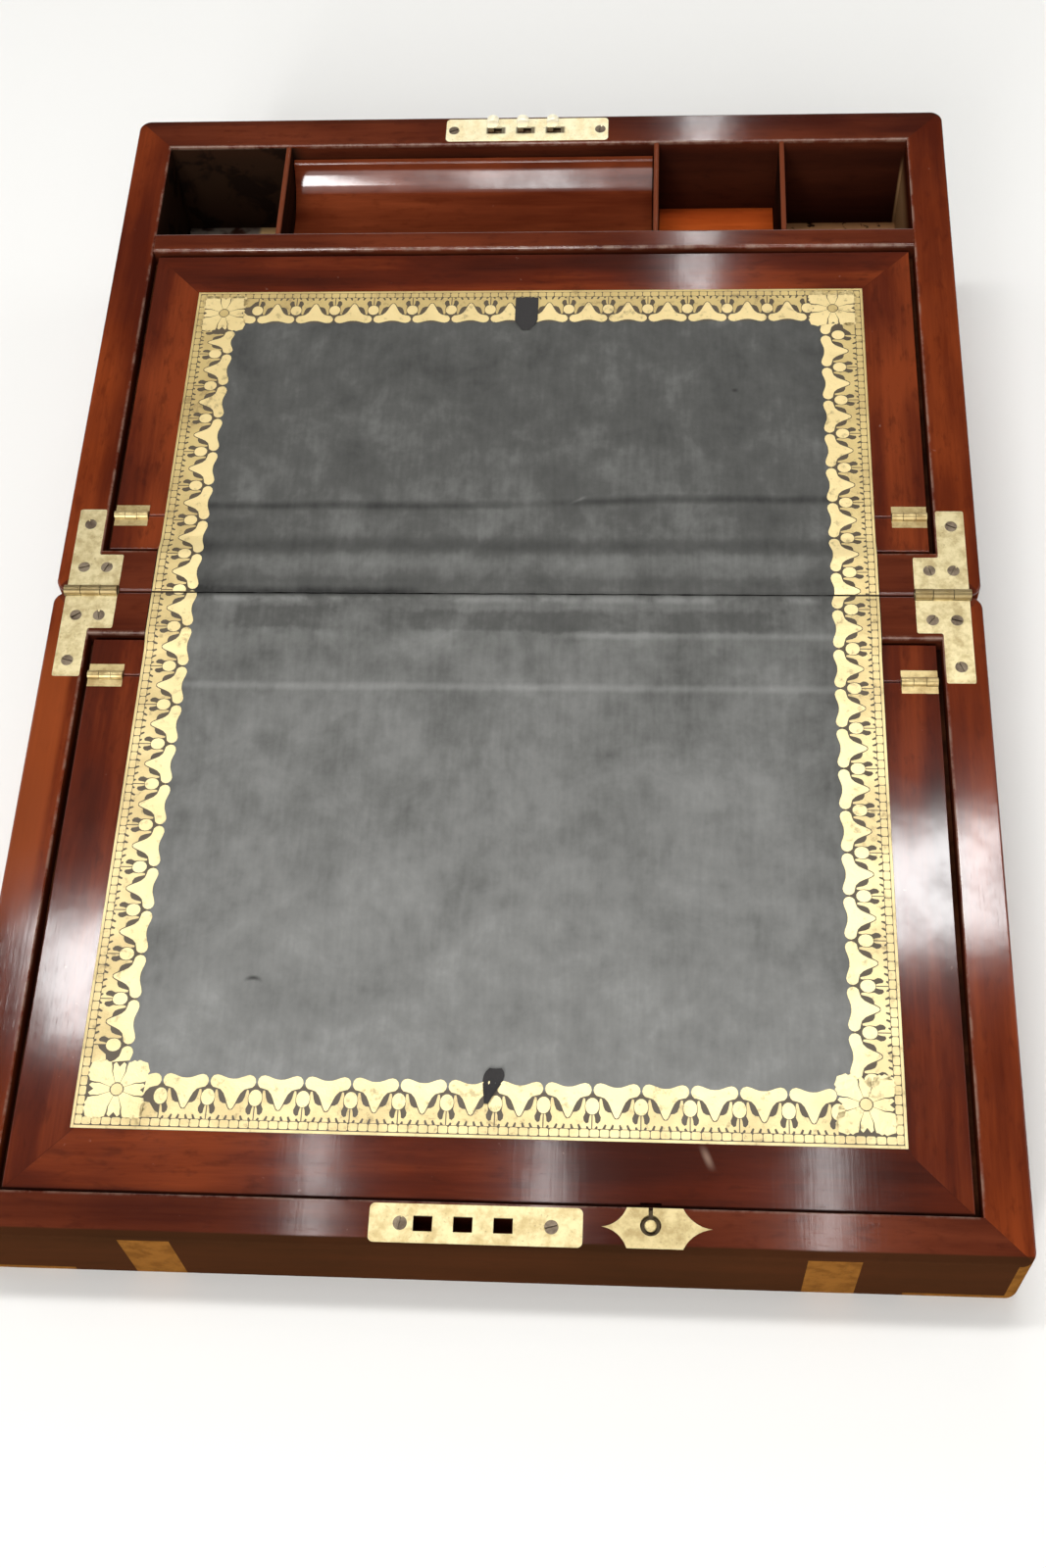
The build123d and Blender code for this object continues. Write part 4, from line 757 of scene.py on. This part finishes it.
def beads(low, high):
    """A row of eight-sided beads from low to high."""
    out = []
    count = round((high - low) / BEAD)
    step = (high - low) / count
    for i in range(count):
        u, w = low + step * (i + 0.5), step / 2 - 0.13
        outer = [(u - w, 1.6), (u - w + 0.4, 1.25), (u + w - 0.4, 1.25), (u + w, 1.6)]
        inner = [(u + w, 3.15), (u + w - 0.4, 3.55), (u - w + 0.4, 3.55), (u - w, 3.15)]
        out.append((outer + inner, DULL))
    return out


def flower(x, y, sx, sy):
    """The square flower of a corner: four petals and four lobes about a boss."""
    out = [([(x + u * sx, y + v * sy) for u, v in ring(0, 0, 2.0, 2.0, 12)], DULL)]
    for i in range(8):
        half = LOBE if i % 2 else PETAL
        points = half + [(-a, r) for a, r in reversed(half) if a] + [(0, half[0][1])]
        turned = [(math.radians(45 + 45 * i + a), r) for a, r in points]
        out.append(([(x + r * math.cos(a) * sx, y + r * math.sin(a) * sy) for a, r in turned], HIGHLIT))
    return out


def gilt_islands():
    """All outlines of the border in the rim plane's x and y, in mm."""
    out = []
    across, along = beads(-134, 134), beads(1.3 - FRONT_END, REAR_END - 1.3)
    near = border_side(*NEAR_SIDE, True, None) + across
    out += [([(u, -FRONT_END + v * NEAR_STRETCH) for u, v in points], kind) for points, kind in near]
    far = border_side(*FAR_SIDE, True, None) + across
    out += [([(u, REAR_END - v * FAR_STRETCH) for u, v in points], kind) for points, kind in far]
    right = border_side(*RIGHT_SIDE, False, "fan") + along
    out += [([(LEATHER_HALF - v, u) for u, v in points], kind) for points, kind in right]
    left = border_side(*LEFT_SIDE, True, 12.0) + along
    out += [([(-LEATHER_HALF + v, u) for u, v in points], kind) for points, kind in left]
    for place in FLOWERS:
        out += flower(*place)
    # the fillet: a thin line round the whole edge
    low, high = -FRONT_END + 0.1, REAR_END - 0.1
    for side in (-1, 1):
        edge, inner = side * (LEATHER_HALF - 0.1), side * (LEATHER_HALF - 1.05)
        out.append(([(edge, low), (inner, low), (inner, high), (edge, high)], DULL))
    for y, way in ((high, -1), (low, 1)):
        reach = LEATHER_HALF - 1.1
        out.append(([(-reach, y), (reach, y), (reach, y + 0.95 * way), (-reach, y + 0.95 * way)], DULL))
    return out


# Distances from the joint where the gilt is cut across, so that it follows the leather's height.
CUTS = (
    SPLIT + 0.15, 1.2, 2.0, 2.8, 3.6, 10, SLOPE_FROM, 18.5, 20, 21.5, 23, 24.5, SLOPE_TO,
    35.4, 35.7, FOLD_Y, 36.3, 36.6, 60, 100, 140, 180,
)


def gilt(name, half, *materials):
    """The gold of one half, following its leather."""
    bm = bmesh.new()
    for island, kind in gilt_islands():
        if max(half * y for _, y in island) < SPLIT + 0.2:
            continue
        bm.faces.new([bm.verts.new((x, y, 0)) for x, y in island]).material_index = kind
    bmesh.ops.recalc_face_normals(bm, faces=bm.faces)
    for face in bm.faces:
        if face.normal.z < 0:
            face.normal_flip()
    bmesh.ops.triangulate(bm, faces=bm.faces)
    for y in CUTS:
        geometry = bm.verts[:] + bm.edges[:] + bm.faces[:]
        plane = {"plane_co": (0, half * y, 0), "plane_no": (0, -half, 0)}
        bmesh.ops.bisect_plane(bm, geom=geometry, clear_outer=y < 1, **plane)
    for v in bm.verts:
        x, y = v.co.x, v.co.y
        v.co = on_rim(x, y, leather_height(x, y) + GILT_RISE)
    return add_mesh(name, bm, *materials)


def gold(name, near, far, tarnish, share):
    """Rubbed gold leaf, paler towards the camera and darker away from it, a painted sheen."""
    look = Look(name, rest=True)
    rub = look.noise(2.6, 4.0, 0.65, 0.0, 3.0)
    age = look.noise(26, 3.0, 0.6, 0.0, 5.0)
    relief = look.noise(2.4, 2.0, 0.5, 0.0, 9.0)
    # painted sheen: the gold is paler towards the camera
    colour = look.mix(look.step(look.y, -150, 110), near, far)
    worn = look.plus(look.mul(look.step(age, 0.38, 0.62), 0.5), look.mul(look.step(look.x, 60, -130), 0.25))
    colour = look.cover(colour, worn, share, tarnish)
    gone = look.step(look.plus(rub, look.mul(look.less(age, 0.5), 0.5)), 0.56, 0.72)
    colour = look.cover(colour, gone, 0.5, rgb(112, 92, 58))
    crinkle = look.plus(look.noise(0.7, 3.0, 0.6, 0.0, 8.0), look.mul(relief, 2.0))
    return look.finish(Base_Color=colour, Metallic=0.3, Roughness=0.4, Normal=look.bump(crinkle, 0.7, 0.10))


leather_look = black_leather()
gilt_dull = gold("gilt", rgb(234, 214, 158), rgb(206, 182, 120), rgb(168, 142, 88), 0.8)
# painted highlight: a paler gold for the raised fans, discs and petals
gilt_highlit = gold("gilt_highlit", rgb(243, 226, 172), rgb(234, 211, 152), rgb(200, 176, 116), 0.6)

SHEETS = (
    ("rear", 1, REAR_END, "base", "rear_flap", ["rear_flap", "rear_strip", "base_hinge_wall"]),
    ("front", -1, FRONT_END, "lid", "front_flap", ["front_flap", "front_strip", "lid_hinge_wall"]),
)
for part, half, end, body, flap, under in SHEETS:
    sheet = leather_sheet(part + "_leather", half, end, leather_look)
    tooling = gilt(part + "_gilt", half, gilt_dull, gilt_highlit)
    for piece in (sheet, tooling):
        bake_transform(piece)
    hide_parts("base_leather" if half > 0 else "lid_leather", flap + "_leather")

# ---- ribbon pulls ----
ACROSS_RIBBON = 7


def ribbon_cloth():
    """Black woven ribbon."""
    look = Look("ribbon", rest=True)
    weave = look.noise((0.5, 0.5, 0.5), 2.0)
    colour = look.mix(weave, rgb(22, 20, 20), rgb(48, 45, 44))
    return look.finish(Base_Color=colour, Roughness=0.8, Normal=look.bump(weave, 0.5, 0.1))


def ribbon(name, path, widths, twists, material):
    """A strip along a path of (x, y, height over the leather), with a width and a twist at each."""
    bm = bmesh.new()
    rows = []
    for (x, y, z), width, twist in zip(path, widths, twists):
        row = []
        for i in range(ACROSS_RIBBON):
            s = (i / (ACROSS_RIBBON - 1) - 0.5) * width
            lift = s * math.sin(twist)
            height = leather_height(x, y) + z + abs(lift) + 0.12 * math.cos(3 * s)
            row.append(bm.verts.new(on_rim(x + s * math.cos(twist), y, height)))
        rows.append(row)
    for low, high in zip(rows, rows[1:]):
        for i in range(ACROSS_RIBBON - 1):
            bm.faces.new((low[i], low[i + 1], high[i + 1], high[i]))
    bmesh.ops.recalc_face_normals(bm, faces=bm.faces)
    for face in bm.faces:
        face.smooth = True
    return add_mesh(name, bm, material)


ribbon_look = ribbon_cloth()
rear_path = [(0.5, 144.5 - 1.7 * i, 0.4 + 0.12 * math.sin(i * 0.9)) for i in range(11)]
rear_tab = ribbon("rear_ribbon", rear_path, [9.4] * 8 + [8.0, 5.5, 3.0], [0.0] * 11, ribbon_look)
front_path = [(0.6 + 0.27 * i, -197.0 + 1.2 * i, 0.3 + 0.2 * math.sin(i * 0.8)) for i in range(11)]
front_widths = [1.6, 2.4, 3.2, 4.0, 4.8, 5.6, 6.4, 6.9, 6.9, 6.2, 4.2]
front_twists = [0.5, 0.45, 0.4, 0.3, 0.2, 0.1, 0.0, 0.0, 0.1, 0.2, 0.3]
front_tab = ribbon("front_ribbon", front_path, front_widths, front_twists, ribbon_look)
for piece, flap, node in ((rear_tab, "rear_flap", "rear_tab"), (front_tab, "front_flap", "front_tab")):
    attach(piece, flap)
    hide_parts(node)

# ---- floor ----
BACKDROP_FROM, BACKDROP_TO = 420, 1100


def pale_floor():
    """Pale matt paper that turns into a glowing backdrop away from the box, where it is seen."""
    look = Look("floor")
    uneven = look.noise(900, 2.0)
    colour = look.mix(uneven, rgb(236, 235, 231), rgb(239, 238, 235))
    path = look.node("LightPath").outputs
    seen = look.highest(path["Is Camera Ray"], path["Is Glossy Ray"], path["Is Transmission Ray"])
    away = look.math("SQRT", look.plus(look.mul(look.x, look.x), look.mul(look.y, look.y)))
    backdrop = look.mul(look.step(away, BACKDROP_FROM, BACKDROP_TO), seen)
    colour = look.mix(backdrop, colour, rgb(0, 0, 0))
    glow = {"Emission_Color": rgb(250, 249, 246), "Emission_Strength": backdrop}
    return look.finish(Base_Color=colour, Roughness=0.9, Specular_IOR_Level=0.1, **glow)


bpy.ops.mesh.primitive_plane_add(size=30)
floor = bpy.context.object
floor.name = "floor"
floor.data.materials.append(pale_floor())


# ---- light ----
def lamp(name, at, towards, size, radiance):
    """White area lamp of a given radiance, unseen by the camera."""
    data = bpy.data.lights.new(name, "AREA")
    data.shape = "RECTANGLE"
    data.size, data.size_y = size
    data.energy = radiance * size[0] * size[1] * math.pi
    made = bpy.data.objects.new(name, data)
    made.location = at
    made.rotation_mode = "QUATERNION"
    made.rotation_quaternion = (Vector(towards) - Vector(at)).to_track_quat("-Z", "Y")
    made.visible_camera = False
    bpy.context.scene.collection.objects.link(made)


# The world glows most near the horizon: its strength falls from the first value to the second
# between these heights, and is 1 for the camera.
SKY_HEIGHTS = (0.10, 0.42)
SKY_STRENGTHS = (0.9, 0.06)


def studio_world():
    """White surroundings for the camera, dark above for reflections."""
    world = bpy.data.worlds.new("studio")
    world.use_nodes = True
    bpy.context.scene.world = world
    tree = world.node_tree
    tree.nodes.clear()
    coords = tree.nodes.new("ShaderNodeTexCoord")
    parts = tree.nodes.new("ShaderNodeSeparateXYZ")
    tree.links.new(coords.outputs["Generated"], parts.inputs[0])
    rise = tree.nodes.new("ShaderNodeMapRange")
    rise.interpolation_type = "SMOOTHSTEP"
    tree.links.new(parts.outputs[2], rise.inputs[0])
    for index, value in enumerate(SKY_HEIGHTS + SKY_STRENGTHS):
        rise.inputs[index + 1].default_value = value
    path = tree.nodes.new("ShaderNodeLightPath")
    level = tree.nodes.new("ShaderNodeMath")
    level.operation = "MAXIMUM"
    tree.links.new(path.outputs["Is Camera Ray"], level.inputs[0])
    tree.links.new(rise.outputs[0], level.inputs[1])
    background = tree.nodes.new("ShaderNodeBackground")
    background.inputs[0].default_value = (1.0, 0.995, 0.98, 1.0)
    tree.links.new(level.outputs[0], background.inputs[1])
    out = tree.nodes.new("ShaderNodeOutputWorld")
    tree.links.new(background.outputs[0], out.inputs[0])


studio_world()
lamp("key", (0.0, -2.6, 1.6), (0, 0.05, 0.05), (2.6, 2.8), 2.25)
lamp("front_strip", (-0.20, -2.4, 1.4), (-0.1, 0.2, 0.08), (0.22, 2.0), 11.0)
lamp("front_strip_left", (-0.66, -2.4, 1.3), (-0.1, 0.2, 0.08), (0.24, 1.1), 28.0)
lamp("back", (0.0, 3.1, 1.7), (0, 0, 0.05), (2.4, 1.2), 2.1)
lamp("left_fill", (-1.9, 0.4, 1.7), (0, 0, 0.05), (1.2, 1.2), 1.4)
lamp("right_fill", (1.9, 0.4, 1.7), (0, 0, 0.05), (1.2, 1.2), 1.4)
lamp("strip", (-0.11, 0.32, 1.815), (-0.05, -0.14, 0.045), (1.34, 0.16), 24.0)
for index, x in enumerate((-0.365, -0.07, 0.285)):
    lamp("spot_%d" % index, (x, -0.045, 1.775), (x, -0.23, 0.035), (0.03, 0.2), 15.0)
lamp("far_strip", (0.13, 1.64, 1.985), (0.07, 0.2, 0.09), (0.045, 0.42), 17.0)
